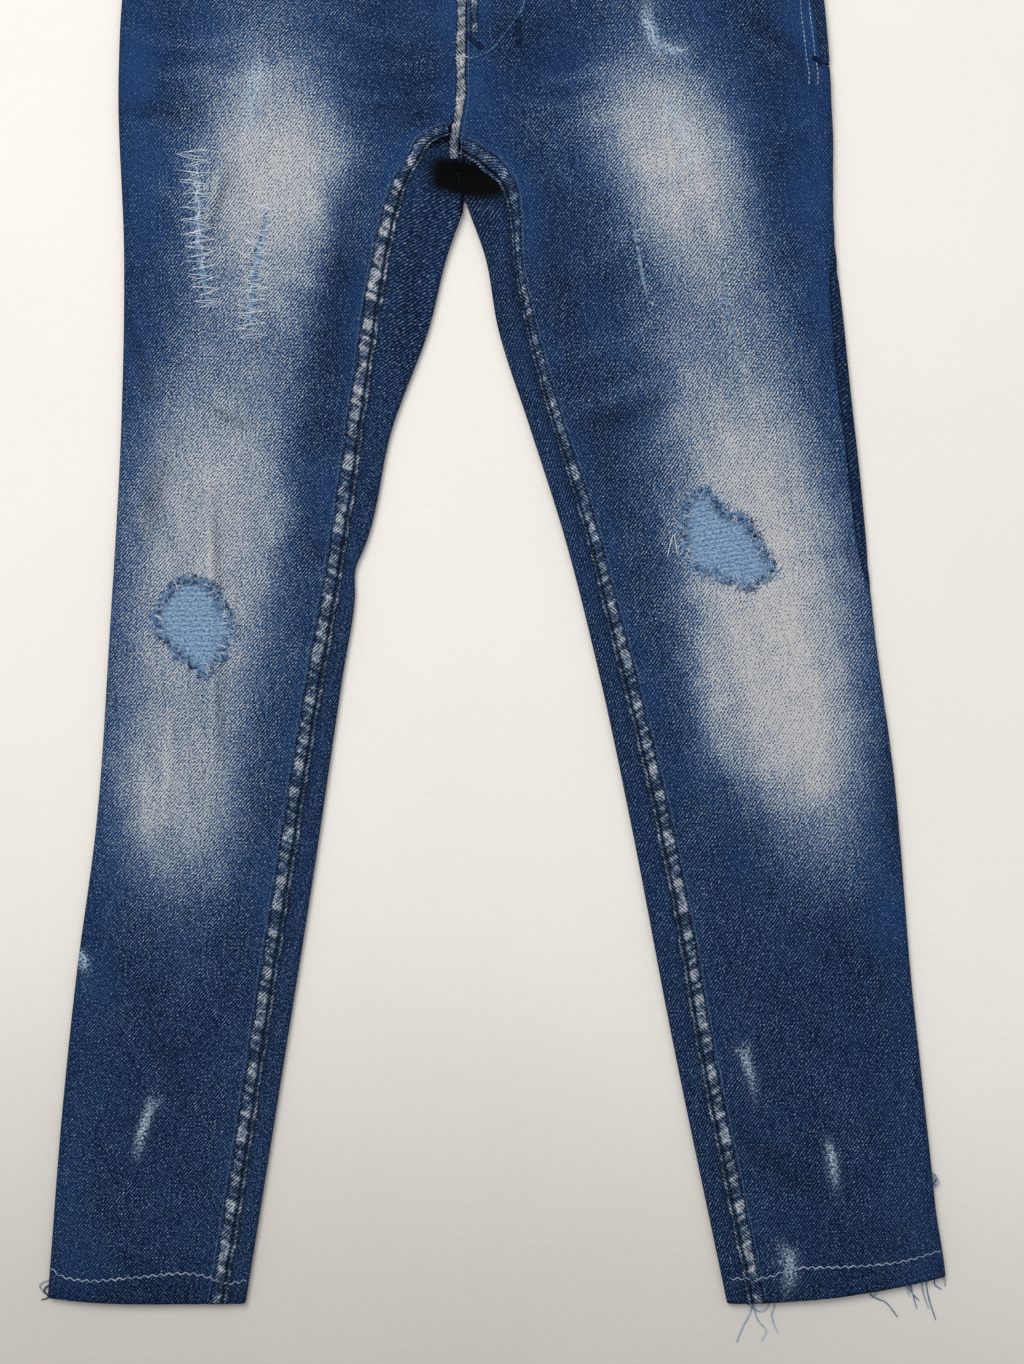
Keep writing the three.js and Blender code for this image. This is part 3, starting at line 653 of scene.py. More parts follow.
class Sheet:
    """A piece of cloth laid out of one or more grids that share their edges."""

    def __init__(self) -> None:
        """Starts an empty sheet."""
        self.bm = bmesh.new()
        # vertex colours: fading, how vivid the blue is, painted shade and, in alpha, scuffs
        self.wear_and_shade = self.bm.verts.layers.float_color.new("wear_and_shade")
        self.weave = self.bm.verts.layers.float_vector.new("weave")

    def grid(self, across: int, along: int, place: Place, flip: bool = False) -> None:
        """Adds a grid.

        Args:
            across: how many cells wide.
            along: how many cells long.
            place: turns (u, v) from 0 to 1 into points in mm, flat cloth
                positions in mm, and the fading, scuffs and painted shade.
            flip: run u the other way, for the wearer's left side, so that
                the same face of the cloth stays outside.
        """
        made = bmesh.ops.create_grid(self.bm, x_segments=across, y_segments=along, size=0.5)
        verts = made["verts"]
        flat = np.array([(v.co.x + 0.5, v.co.y + 0.5) for v in verts])
        points, weave, wear_and_shade = place(1 - flat[:, 0] if flip else flat[:, 0], flat[:, 1])
        for vert, point, thread, worn_and_shaded in zip(verts, points * MM, weave * MM, wear_and_shade):
            vert.co = point
            vert[self.weave] = (thread[0], thread[1], 0.0)
            vert[self.wear_and_shade] = worn_and_shaded

    def cut_hole(self, outline: Array, above: float) -> None:
        """Opens a hole through the sheet and draws its rim onto the outline.

        Args:
            outline: a closed line of plan points in mm.
            above: only cloth higher than this is cut, in mm.
        """
        margin = 4
        low, high = outline.min(axis=0) - margin, outline.max(axis=0) + margin
        faces = []
        for face in self.bm.faces:
            c = face.calc_center_median() / MM
            if low[0] < c.x < high[0] and low[1] < c.y < high[1] and c.z > above:
                faces.append((face, c.x, c.y))
        inside = points_inside(np.array([(x, y) for _, x, y in faces]), outline)
        doomed = [face for (face, _, _), hit in zip(faces, inside) if hit]
        rim = {v for face in doomed for v in face.verts}
        bmesh.ops.delete(self.bm, geom=doomed, context="FACES")
        sides = zip(outline, np.roll(outline, -1, 0))
        dense = np.concatenate([np.linspace(a, b, 8, endpoint=False) for a, b in sides])
        for vert in rim:
            if not vert.is_valid or not vert.link_faces:
                continue
            here = np.array([vert.co.x, vert.co.y]) / MM
            best = dense[np.argmin(((dense - here) ** 2).sum(axis=1))]
            vert.co.x, vert.co.y = best * MM

    def finish(
        self, name: str, material: Material, thickness: float = CLOTH
    ) -> Piece:
        """Joins the grids, gives the cloth its thickness and makes the piece.

        Args:
            name: the piece's name.
            material: its finish.
            thickness: of the cloth, in mm. It grows inwards from the grids.

        Returns:
            The new piece.
        """
        bmesh.ops.remove_doubles(self.bm, verts=self.bm.verts, dist=0.05 * MM)
        loose = [v for v in self.bm.verts if not v.link_faces]
        bmesh.ops.delete(self.bm, geom=loose, context="VERTS")
        uv = self.bm.loops.layers.uv.new("UVMap")
        for face in self.bm.faces:
            for loop in face.loops:
                loop[uv].uv = loop.vert[self.weave].xy
        piece = bare_object(name, mesh_of(name, self.bm), material)
        wall = piece.modifiers.new("cloth", "SOLIDIFY")
        wall.thickness = thickness * MM
        wall.offset = -1.0
        wall.use_even_offset = False
        return piece


def points_inside(points: Array, outline: Array) -> Array:
    """Which plan points lie inside an outline.

    Args:
        points: plan points.
        outline: a closed line of plan points.

    Returns:
        True for each point inside.
    """
    inside = np.zeros(len(points), bool)
    x, y = points[:, 0], points[:, 1]
    for (ax, ay), (bx, by) in zip(outline, np.roll(outline, -1, axis=0)):
        if ay == by:
            continue
        crosses = (ay > y) != (by > y)
        inside ^= crosses & (x < (bx - ax) * (y - ay) / (by - ay) + ax)
    return inside


def smooth_line(points: Sequence[tuple[float, float]], step: float, closed: bool = False) -> Array:
    """A smooth line through a few points.

    Args:
        points: plan points in mm.
        step: from one new point to the next, in mm.
        closed: the line goes back to its first point.

    Returns:
        The line's plan points.
    """
    p = np.array(points, float)
    if closed:
        spans = zip(np.roll(p, 1, 0), p, np.roll(p, -1, 0), np.roll(p, -2, 0))
    else:
        q = np.concatenate([2 * p[:1] - p[1:2], p, 2 * p[-1:] - p[-2:-1]])
        spans = zip(q, q[1:], q[2:], q[3:])
    t = np.linspace(0, 1, 24, endpoint=False)[:, None]
    fine = [
        0.5 * (2 * b + (c - a) * t + (2 * a - 5 * b + 4 * c - d) * t**2 + (3 * b - a - 3 * c + d) * t**3)
        for a, b, c, d in spans
    ]
    line = even_steps(np.concatenate([*fine, fine[0][:1] if closed else p[-1:]]), step)
    return line[:-1] if closed else line


def run_of(line: Array) -> Array:
    """Returns how far along a line each of its points is."""
    return np.concatenate([[0], np.cumsum(np.linalg.norm(np.diff(line, axis=0), axis=1))])


def heading_of(line: Array) -> Array:
    """Returns unit vectors along a line."""
    run = np.gradient(line, axis=0)
    return run / (np.linalg.norm(run, axis=1, keepdims=True) + 1e-9)


def even_steps(line: Array, step: float) -> Array:
    """The same line with its points evenly spaced.

    Args:
        line: points in mm.
        step: about how far apart, in mm.

    Returns:
        The new points.
    """
    run = run_of(line)
    count = max(2, int(round(run[-1] / step)) + 1)
    at = np.linspace(0, run[-1], count)
    return np.stack([np.interp(at, run, line[:, k]) for k in range(line.shape[1])], axis=1)


def sideways(line: Array) -> Array:
    """Returns unit vectors across a plan line, to its left as it runs."""
    run = heading_of(line)
    return columns(-run[:, 1], run[:, 0])


def tubes(
    name: str, paths: Sequence[Array], radius: float, material: Material, sides: int = 5
) -> Piece:
    """Many thin threads as one piece.

    Args:
        name: the piece's name.
        paths: the line of each thread, in mm.
        radius: of a thread, in mm.
        material: its finish.
        sides: of a thread's section.

    Returns:
        The new piece.
    """
    points: list[Array] = []
    faces: list[Array] = []
    start = 0
    turn = np.arange(sides) * 2 * math.pi / sides
    for path in paths:
        run = heading_of(path)
        across = np.cross(run, (0.0, 0.0, 1.0))
        across[np.linalg.norm(across, axis=1) < 1e-3] = (1.0, 0.0, 0.0)
        across /= np.linalg.norm(across, axis=1, keepdims=True)
        up = np.cross(across, run)
        n = len(path)
        thin = radius * (THREAD_END + (1 - THREAD_END) * np.sin(np.pi * np.linspace(0.08, 0.92, n)) ** 0.5)
        ring = across[:, None] * np.cos(turn)[None, :, None] + up[:, None] * np.sin(turn)[None, :, None]
        points.append((path[:, None] + ring * thin[:, None, None]).reshape(-1, 3))
        i, k = np.meshgrid(np.arange(n - 1), np.arange(sides), indexing="ij")
        j = (k + 1) % sides
        quads = columns(i * sides + k, i * sides + j, (i + 1) * sides + j, (i + 1) * sides + k)
        faces.append(quads.reshape(-1, 4) + start)
        spokes = range(1, sides - 1)
        faces.append(np.array([[0, s + 1, s, s] for s in spokes]) + start)
        faces.append(np.array([[0, s, s + 1, s + 1] for s in spokes]) + start + (n - 1) * sides)
        start += n * sides
    verts = np.concatenate(points) * MM
    quads = np.concatenate(faces)
    mesh = bpy.data.meshes.new(name)
    mesh.from_pydata(verts.tolist(), [], [tuple(dict.fromkeys(f)) for f in quads.tolist()])
    mesh.validate()
    return bare_object(name, mesh, material)


def stitches(line: Array, pitch: float, fill: float = 0.74, sink: float = 0.25) -> list[Array]:
    """Stitches along a line on the front of the garment.

    Args:
        line: plan points in mm.
        pitch: from one stitch to the next, in mm.
        fill: the share of the pitch that shows.
        sink: how far a stitch's ends go into the cloth, in mm.

    Returns:
        The path of each stitch, in mm.
    """
    stops = even_steps(line, pitch)
    paths = []
    for a, b in zip(stops, stops[1:]):
        ends = a + (b - a) * (1 - fill) / 2, b - (b - a) * (1 - fill) / 2
        t = np.linspace(0, 1, 5)[:, None]
        plan = ends[0] * (1 - t) + ends[1] * t
        arch = np.sin(np.pi * t[:, 0])
        paths.append(over_cloth(plan, 0.34 * arch - sink * (1 - arch)))
    return paths


# ---------------------------------------------------------------- finishes
def linear(code: str) -> tuple[float, float, float, float]:
    """Turns an sRGB hex colour to linear numbers.

    Args:
        code: the colour, as "#" and six digits.

    Returns:
        Red, green and blue, with a full alpha.
    """
    parts = [int(code[n : n + 2], 16) / 255 for n in (1, 3, 5)]
    r, g, b = (c / 12.92 if c <= 0.04045 else ((c + 0.055) / 1.055) ** 2.4 for c in parts)
    return (r, g, b, 1.0)


class Shader:
    """A material in the making.

    Wherever a node takes a value, a socket is linked, a number is set, and a
    hex colour is turned into a linear one.
    """

    def __init__(self, name: str) -> None:
        """Starts a material without nodes."""
        self.made = bpy.data.materials.new(name)
        self.made.use_nodes = True
        self.tree = self.made.node_tree
        self.tree.nodes.clear()

    def add(self, kind: str, inputs: dict[str | int, object], **settings: object) -> bpy.types.NodeOutputs:
        """Adds a node with its settings and links.

        Args:
            kind: the node's type name after "ShaderNode".
            inputs: what goes into its sockets.
            settings: its own properties.

        Returns:
            The new node's outputs.
        """
        node = self.tree.nodes.new("ShaderNode" + kind)
        for key, value in settings.items():
            setattr(node, key, value)
        for key, value in inputs.items():
            if isinstance(value, bpy.types.NodeSocket):
                self.tree.links.new(value, node.inputs[key])
            else:
                node.inputs[key].default_value = linear(value) if isinstance(value, str) else value
        return node.outputs

    def surface(self, colour: Socket, roughness: object, height: Socket, depth_mm: float,
                metallic: float = 0.0) -> Material:
        """Ends in a Principled shader with fine relief.

        Args:
            colour: the base colour.
            roughness: a socket or a number.
            height: the relief, from 0 to 1.
            depth_mm: how deep the relief is.
            metallic: 1 on bare metal. Cloth has next to no shine.

        Returns:
            The finished material.
        """
        bump = self.add("Bump", {"Strength": 1.0, "Distance": depth_mm * MM, "Height": height})
        shader = self.add("BsdfPrincipled", {
            "Base Color": colour, "Roughness": roughness, "Metallic": metallic,
            "Specular IOR Level": 0.5 if metallic else 0.1, "Normal": bump["Normal"],
        })
        self.add("OutputMaterial", {"Surface": shader["BSDF"]})
        return self.made


def wave_scale(period_mm: float) -> float:
    """Returns the Wave texture's scale whose bands repeat at this distance."""
    return 2 * math.pi / 20 / (period_mm * MM)


@dataclass(frozen=True)
class WornDenim:
    """Stonewashed indigo twill: a deep blue warp over a pale weft.

    The warp is dyed only on its outside, so rubbing takes it through brighter
    blue and slate to a grey-beige where the undyed core and weft show, and it
    breaks up along the diagonal ribs of the twill. Painted shade from the
    vertex colours multiplies it towards near black in creases, folds and gaps.
    """

    name: str
    steps: tuple[tuple[float, str], ...]
    vivid: str
    # near black, multiplied in by the painted shade
    painted_shade: str
    scuffed: str
    # real ribs stand about 1 mm apart, drawn wider so that they show
    rib_mm: float
    yarn_mm: float
    contrast: float
    twill_angle: float = 38.0

    def material(self) -> Material:
        """Returns the finish as a material."""
        make = Shader(self.name)
        add = make.add
        # vertex colours: fade, vivid blue, painted shade and, in alpha, scuffs
        wear_and_shade = add("Attribute", {}, attribute_name="wear_and_shade")
        parts = add("SeparateColor", {"Color": wear_and_shade["Color"]})
        fade, bright, painted_shade = (parts[n] for n in range(3))
        scuff = wear_and_shade["Alpha"]
        flat = add("UVMap", {}, uv_map="UVMap")["UV"]

        turn = (0, 0, math.radians(self.twill_angle))
        twill = add("Mapping", {"Vector": flat, "Rotation": turn})[0]
        ribs = add("TexWave", {
            "Vector": twill, "Scale": wave_scale(self.rib_mm), "Distortion": 2.0, "Detail": 1.0,
            "Detail Scale": 0.6,
        }, bands_direction="X")["Fac"]
        scale = 1 / (self.yarn_mm * MM)
        yarn = add("TexNoise", {"Vector": flat, "Scale": scale, "Detail": 1.0, "Roughness": 0.6})["Fac"]
        drawn = add("Mapping", {"Vector": flat, "Scale": (1.0, 0.12, 1.0)})[0]
        slub = add("TexNoise", {"Vector": drawn, "Scale": 520.0, "Detail": 2.0})["Fac"]
        cloud = add("TexNoise", {"Vector": flat, "Scale": 46.0, "Detail": 4.0, "Roughness": 0.6})["Fac"]
        grain = add("Math", {0: slub, 1: 0.25, 2: -0.955}, operation="MULTIPLY_ADD")[0]
        grain = add("Math", {0: yarn, 1: 1.3, 2: grain}, operation="MULTIPLY_ADD")[0]
        grain = add("Math", {0: ribs, 1: 0.36, 2: grain}, operation="MULTIPLY_ADD")[0]
        least = add("Math", {0: fade, 1: 0.95, 2: 0.07}, operation="MULTIPLY_ADD")[0]
        grown = add("Math", {0: grain, 1: self.contrast, 2: least}, operation="MULTIPLY_ADD")[0]
        patchy = add("Math", {0: cloud, 1: 0.22, 2: -0.11}, operation="MULTIPLY_ADD")[0]
        worn_and_shaded = add("Math", {0: grown, 1: patchy}, operation="ADD", use_clamp=True)[0]
        faded = add("ValToRGB", {"Fac": worn_and_shaded})[0]
        stops = faded.node.color_ramp.elements
        while len(stops) < len(self.steps):
            stops.new(0.5)
        for stop, (at, code) in zip(stops, self.steps):
            stop.position = at
            stop.color = linear(code)

        undyed = add("Math", {0: 0.85, 1: fade}, operation="SUBTRACT", use_clamp=True)[0]
        share = add("Math", {0: bright, 1: undyed}, operation="MULTIPLY")[0]
        blue = add("Mix", {0: share, 6: faded, 7: self.vivid}, data_type="RGBA")[2]
        # painted shade: the colour is multiplied towards near black where shade falls
        deep = add("Mix", {0: painted_shade, 6: blue, 7: self.painted_shade}, data_type="RGBA", blend_type="MULTIPLY")[2]
        torn = add("TexNoise", {"Vector": flat, "Scale": 620.0, "Detail": 4.0, "Roughness": 0.7})["Fac"]
        torn = add("Math", {0: torn, 1: 5.5, 2: -3.05}, operation="MULTIPLY_ADD")[0]
        torn = add("Math", {0: torn, 1: scuff}, operation="ADD", use_clamp=True)[0]
        torn = add("Math", {0: torn, 1: scuff}, operation="MULTIPLY", use_clamp=True)[0]
        torn = add("Math", {0: torn, 1: 1.3}, operation="MULTIPLY", use_clamp=True)[0]
        bleached = add("Mix", {0: torn, 6: deep, 7: self.scuffed}, data_type="RGBA")[2]
        return make.surface(bleached, 0.9, grain, 0.16)


@dataclass(frozen=True)
class PlainFinish:
    """A finish of two shades of one colour."""

    name: str
    light: str
    shade: str


class PatchCloth(PlainFinish):
    """Light blue chambray with thick uneven weft yarns, seen through the tears."""

    weft_mm = 3.4

    def material(self) -> Material:
        """Returns the finish as a material."""
        make = Shader(self.name)
        add = make.add
        flat = add("UVMap", {}, uv_map="UVMap")["UV"]
        weft = add("TexWave", {
            "Vector": flat, "Scale": wave_scale(self.weft_mm), "Distortion": 5.0, "Detail": 3.0,
            "Detail Scale": 2.4, "Detail Roughness": 0.7,
        }, bands_direction="Y")["Fac"]
        drawn = add("Mapping", {"Vector": flat, "Scale": (0.6, 1.0, 1.0)})[0]
        dash = add("TexNoise", {"Vector": drawn, "Scale": 900.0, "Detail": 3.0, "Roughness": 0.7})["Fac"]
        both = add("Math", {0: dash, 1: 3.8, 2: -1.62}, operation="MULTIPLY_ADD")[0]
        both = add("Math", {0: weft, 1: 0.36, 2: both}, operation="MULTIPLY_ADD")[0]
        colour = add("Mix", {0: both, 6: self.shade, 7: self.light}, data_type="RGBA")[2]
        return make.surface(colour, 0.95, both, 0.5)


class SpunThread(PlainFinish):
    """Twisted cotton sewing thread or a pulled yarn: matt, a little uneven in shade."""

    def material(self) -> Material:
        """Returns the finish as a material."""
        make = Shader(self.name)
        add = make.add
        place = add("TexCoord", {})["Object"]
        uneven = add("TexNoise", {"Vector": place, "Scale": 260.0, "Detail": 3.0})["Fac"]
        share = add("MapRange", {"Value": uneven, "From Min": 0.35, "From Max": 0.65})[0]
        colour = add("Mix", {0: share, 6: self.shade, 7: self.light}, data_type="RGBA")[2]
        twist = add("TexNoise", {"Vector": place, "Scale": 1600.0, "Detail": 1.0})["Fac"]
        return make.surface(colour, 0.85, twist, 0.1)


class AgedBrass(PlainFinish):
    """Stamped brass, plated and rubbed: warm and half dull, darker in its dents."""

    def material(self) -> Material:
        """Returns the finish as a material."""
        make = Shader(self.name)
        add = make.add
        place = add("TexCoord", {})["Object"]
        blotch = add("TexNoise", {"Vector": place, "Scale": 300.0, "Detail": 5.0, "Roughness": 0.65})["Fac"]
        share = add("MapRange", {"Value": blotch, "From Min": 0.4, "From Max": 0.62})[0]
        colour = add("Mix", {0: share, 6: self.shade, 7: self.light}, data_type="RGBA")[2]
        rubbed = {"Value": blotch, "From Min": 0.35, "From Max": 0.65, "To Min": 0.5, "To Max": 0.3}
        return make.surface(colour, add("MapRange", rubbed)[0], blotch, 0.06, 1.0)


class FloorCloth(PlainFinish):
    """A pale cotton sheet: warm off-white, matt, with a faint weave."""

    # the colour of the painted shade towards the near edge
    painted_shade_grey = "#D9D7D5"

    def material(self) -> Material:
        """Returns the finish as a material."""
        make = Shader(self.name)
        add = make.add
        place = add("TexCoord", {})["Object"]
        speck = add("TexNoise", {"Vector": place, "Scale": 420.0, "Detail": 3.0, "Roughness": 0.7})["Fac"]
        broad = add("TexNoise", {"Vector": place, "Scale": 7.0, "Detail": 2.0})["Fac"]
        broad = add("Math", {0: broad, 1: 0.5}, operation="MULTIPLY")[0]
        share = add("Math", {0: speck, 1: 0.5, 2: broad}, operation="MULTIPLY_ADD", use_clamp=True)[0]
        colour = add("Mix", {0: share, 6: self.shade, 7: self.light}, data_type="RGBA")[2]
        # painted shade: the sheet is darkened towards its near edge, below the hems, and less so to the
        # right
        split = add("SeparateXYZ", {"Vector": place})
        right = add("Math", {0: split["X"], 1: 0.0}, operation="MAXIMUM")[0]
        along = add("Math", {0: right, 1: 0.3, 2: split["Y"]}, operation="MULTIPLY_ADD")[0]
        edge = {"Value": along, "From Min": -0.16, "From Max": -0.62}
        near = add("MapRange", edge, interpolation_type="SMOOTHSTEP")[0]
        painted_shade_mix = {0: near, 6: colour, 7: self.painted_shade_grey}
        colour = add("Mix", painted_shade_mix, data_type="RGBA", blend_type="MULTIPLY")[2]
        return make.surface(colour, 0.95, speck, 0.25)


@dataclass
class Finishes:
    """Every material of the garment, made once."""

    denim: Material
    patch: Material
    mending: Material
    topstitch: Material
    seam_thread: Material
    navy: Material
    blue: Material
    indigo: Material
    brass: Material
    floor: Material

    @classmethod
    def make(cls) -> Finishes:
        """Returns the set of materials."""
        steps = (
            (0.0, "#071226"), (0.13, "#14294B"), (0.35, "#2A4976"), (0.565, "#4E6786"),
            (0.78, "#8995A0"), (1.0, "#BAB9B8"),
        )
        kinds = {
            "denim": WornDenim("worn_indigo_twill", steps, "#1A3C6C", "#020305", "#AAC4D5", 1.75, 1.3, 1.6),
            "patch": PatchCloth("light_blue_chambray", "#ABC6DF", "#456E9E"),
            "mending": SpunThread("white_mending_thread", "#DDE3EA", "#A9B6C6"),
            "topstitch": SpunThread("pale_topstitch_thread", "#A9B3C0", "#66799A"),
            "seam_thread": SpunThread("faded_seam_thread", "#5E7699", "#2A4168"),
            "indigo": SpunThread("faded_indigo_yarn", "#6E90B8", "#34557F"),
            "navy": SpunThread("navy_warp_yarn", "#22355A", "#0A1426"),
            "blue": SpunThread("pale_blue_yarn", "#9DBBDA", "#5E86B4"),
            "brass": AgedBrass("aged_brass", "#A58452", "#4A3A26"),
            "floor": FloorCloth("off_white_cotton", "#EDEAE6", "#E2DFDA"),
        }
        return cls(**{name: kind.material() for name, kind in kinds.items()})


# ---------------------------------------------------------------- panels
KNEE_HOLE_RIGHT = (
    (-218, -21), (-207, -20.5), (-196, -22), (-188, -34), (-183, -44), (-179, -52), (-183.6, -64),
    (-186, -72), (-193, -77), (-199.6, -85), (-210, -74), (-223, -64), (-231, -51), (-231, -40),
    (-225, -31),
)
KNEE_HOLE_LEFT = (
    (137.7, 41), (145.6, 39), (152, 28), (160, 24), (168.7, 22), (176, 10), (183, -2), (188, -12.6),
    (185.6, -18), (177.8, -20), (171.7, -26), (163, -21), (156, -20), (146, -15), (135.7, -13.6),
    (130, -3.4), (127.5, 10), (129, 30),
)


@dataclass(frozen=True)
class Tear:
    """A long narrow tear: points in mm and its width in the middle."""

    points: Line
    width: float

    def outline(self) -> Array:
        """Returns the tear's closed edge."""
        line = smooth_line(self.points, 4.0)
        across = sideways(line)
        t = np.linspace(0, 1, len(line))
        ragged = 1 + 0.25 * ripple(line[:, 1], line[:, 1], 23, 1.0)
        half = (self.width / 2 * (0.3 + 0.7 * np.sin(np.pi * t)) * ragged)[:, None]
        return np.concatenate([line + across * half, (line - across * half)[::-1]])


MENDED_TEARS = (
    Tear(((-206, 264), (-203, 237), (-202, 206), (-199, 184), (-195.5, 166)), 6.5),
    Tear(((-157, 231), (-158, 215), (-162, 204), (-165.6, 184), (-167, 162), (-167.6, 144)), 5.5),
)
THIN_TEARS = (
    Tear(((89, 237), (95, 210), (99.6, 184), (105, 164)), 3.0),
    Tear(((152.7, 201), (156, 168), (161.5, 148), (170, 120)), 3.0),
)


def yoke_y(x: Array) -> Array:
    """Returns the height of the yoke seam, lowest at the centre back."""
    return 395 + 30 * np.minimum(1, np.abs(x - CB_X) / 225)


@dataclass
class FrontPanel:
    """One front panel, from the side seam to the inseam and the fly."""

    leg: Leg
    foot: float
    mouth: Curve
    holes: tuple[Line, ...]
    tears: tuple[Tear, ...]
    across: int = 80
    along: int = 360

    def place(self, u: Array, v: Array) -> Laid:
        """Lays the cloth out.

        Args:
            u: places across the grid, from 0 to 1.
            v: places along the grid, from 0 to 1.

        Returns:
            Points, flat positions, and the fading, scuffs and painted shade, as Sheet.grid takes them.
        """
        leg = self.leg
        y = HEM_Y + (WAIST_Y - HEM_Y) * v
        start = leg.seam_at(y) + SEAM_GAP
        start = start + (self.mouth(y) - start) * ramp(self.foot, self.foot + 10, y)
        end = reach(leg, y, leg.inseam(y)) - 0.2
        s = start + (end - start) * u
        points = round_fold(leg, y, s, True)
        weave = columns(-leg.side * s, y)
        return points, weave, wear_and_shade_of(points[:, 0], points[:, 1])

    def build(self, finishes: Finishes) -> Piece:
        """Builds the panel, with its holes.

        Args:
            finishes: the garment's materials.

        Returns:
            The piece.
        """
        sheet = Sheet()
        sheet.grid(self.across, self.along, self.place, self.leg.side > 0)
        for hole in self.holes:
            sheet.cut_hole(smooth_line(hole, 2.0, closed=True), LEG_MIDDLE)
        for tear in self.tears:
            sheet.cut_hole(tear.outline(), LEG_MIDDLE)
        return sheet.finish(f"front_cloth_{self.leg.name}", finishes.denim)


@dataclass
class BackPanel:
    """One back panel.

    It is wrapped over the inner edge to the inseam, goes under the leg to the
    side seam, and is split at the centre back above the crotch.
    """

    leg: Leg
    tip: float
    wrap_cells: int = 22
    under_cells: int = 58
    wrap_step: float = 1.2  # a cell's usual width, in mm
    under_step: float = 2.4
    leg_rows: int = 230
    flap_rows: int = 22
    seat_rows: int = 56
    shift_from: float = 311  # the seat's cloth leans to the yoke seam above this height

    def flat(self, k: Array) -> Array:
        """Returns how far across the flat cloth a column of the grid is, in mm."""
        beyond = np.maximum(0, k - self.wrap_cells)
        return self.wrap_step * np.minimum(k, self.wrap_cells) + self.under_step * beyond

    def wrap(self, y: Array, f: Array) -> Array:
        """The cloth between the inseam and the leg's inner edge.

        Args:
            y: up the garment, in mm.
            f: 0 at the inseam and 1 at the edge.

        Returns:
            Points in mm.
        """
        leg = self.leg
        edge = leg.inner(y)
        r = (top_height(edge, y) - back_height(edge, y)) / 2
        start = np.abs(leg.inseam(y) - edge) - r + r * math.pi / 2 - 0.2
        return round_fold(leg, y, start * (1 - f), False)

    def under(self, y: Array, f: Array) -> Array:
        """The cloth between the leg's inner edge and the side seam.

        Args:
            y: up the garment, in mm.
            f: 0 at the edge and 1 at the seam.

        Returns:
            Points in mm.
        """
        leg = self.leg
        edge = leg.inner(y)
        r_in = (top_height(edge, y) - back_height(edge, y)) / 2
        r_out = fold_radius(y)
        span = np.abs(leg.outer(y) - edge) + (r_in + r_out) * (math.pi / 2 - 1)
        d = f * (span + leg.seam_at(y) - SEAM_GAP)
        near = round_fold(leg, y, -d, False)
        far = round_fold(leg, y, d - span, True)
        return np.where((d < span / 2)[:, None], near, far)

    def dress(self, points: Array, weave: Array, front: Array) -> Laid:
        """Adds fading, scuffs and painted shade: only where front is 1 has the cloth the front's marks, and
        along the outer fold it gets painted shade.
        """
        x, y, _ = points.T
        worn_and_shaded = wear_and_shade_of(x, y)
        front = front[:, None]
        strip = np.where(np.abs(x - self.leg.outer(y)) < 20, 1.0, 0.0)[:, None]
        seat = 0.2 * bell(y - 300, 60) * bell(x - self.leg.side * 110, 60)
        plain = columns(0.1 + 0.1 * ripple(x, y, 120, 3.0) + seat, 0.25, 0.2, 0.0)
        # painted shade along the outer fold, where the back shows beside the side seam
        outer_fold_painted_shade = columns(0.0, 0.15, 0.35, worn_and_shaded[:, 3])
        marked = worn_and_shaded * (1 - strip) + outer_fold_painted_shade * strip
        return points, weave, np.clip(plain * (1 - front) + marked * front, 0, 1)

    def place_leg(self, u: Array, v: Array) -> Laid:
        """Lays out the leg, below the crotch.

        Args:
            u: places across the grid, from 0 to 1.
            v: places along the grid, from 0 to 1.

        Returns:
            Points, flat positions, and the fading, scuffs and painted shade, as Sheet.grid takes them.
        """
        y = HEM_Y + (CROTCH_Y - HEM_Y) * v
        k = u * (self.wrap_cells + self.under_cells)
        on_wrap = k <= self.wrap_cells + 1e-6
        a = self.wrap(y, np.clip(k / self.wrap_cells, 0, 1))
        b = self.under(y, np.clip((k - self.wrap_cells) / self.under_cells, 0, 1))
        points = np.where(on_wrap[:, None], a, b)
        weave = columns(-self.leg.side * self.flat(k), y)
        last = self.wrap_cells + self.under_cells
        over = np.maximum(1 - smooth((k - self.wrap_cells) / 2), ramp(last - 3.5, last - 1.5, k))
        return self.dress(points, weave, over)

    def place_flap(self, u: Array, v: Array) -> Laid:
        """Lays out the part that comes over the crotch to the crossing.

        Args:
            u: places across the grid, from 0 to 1.
            v: places along the grid, from 0 to 1.

        Returns:
            Points, flat positions, and the fading, scuffs and painted shade, as Sheet.grid takes them.
        """
        leg = self.leg
        low = np.full_like(u, CROTCH_Y)
        base = self.wrap(low, u)
        ay = CROTCH_Y + (self.tip - CROTCH_Y) * v
        by = CROTCH_Y + (self.tip - 5 - CROTCH_Y) * v
        ax = leg.inseam(ay) - leg.side * SEAM_GAP
        wide = 1.8  # half the split between the two backs, where it starts
        gap = wide + (SEAM_GAP - wide) * smooth(v * 3)
        bx = CB_X - 10 * (by - CROTCH_Y) / 50 + leg.side * gap
        start = self.wrap(low, np.zeros_like(u))
        nose = self.wrap(low, np.ones_like(u))
        share = (base[:, 0] - start[:, 0]) / (nose[:, 0] - start[:, 0])
        x = ax + (bx - ax) * share
        y = ay + (by - ay) * share
        across = CB_X + leg.side * wide - leg.inseam(low) + leg.side * SEAM_GAP
        x0 = leg.inseam(low) - leg.side * SEAM_GAP + across * share
        path = columns(x, y, top_height(x, y) - 0.1)
        path0 = columns(x0, low, top_height(x0, low) - 0.1)
        fall = 1 - np.sin(np.minimum(1, (by - CROTCH_Y) / 12) * math.pi / 2)
        points = path + (base - path0) * fall[:, None]
        weave = columns(-leg.side * self.flat(u * self.wrap_cells), y)
        return self.dress(points, weave, np.ones_like(u))

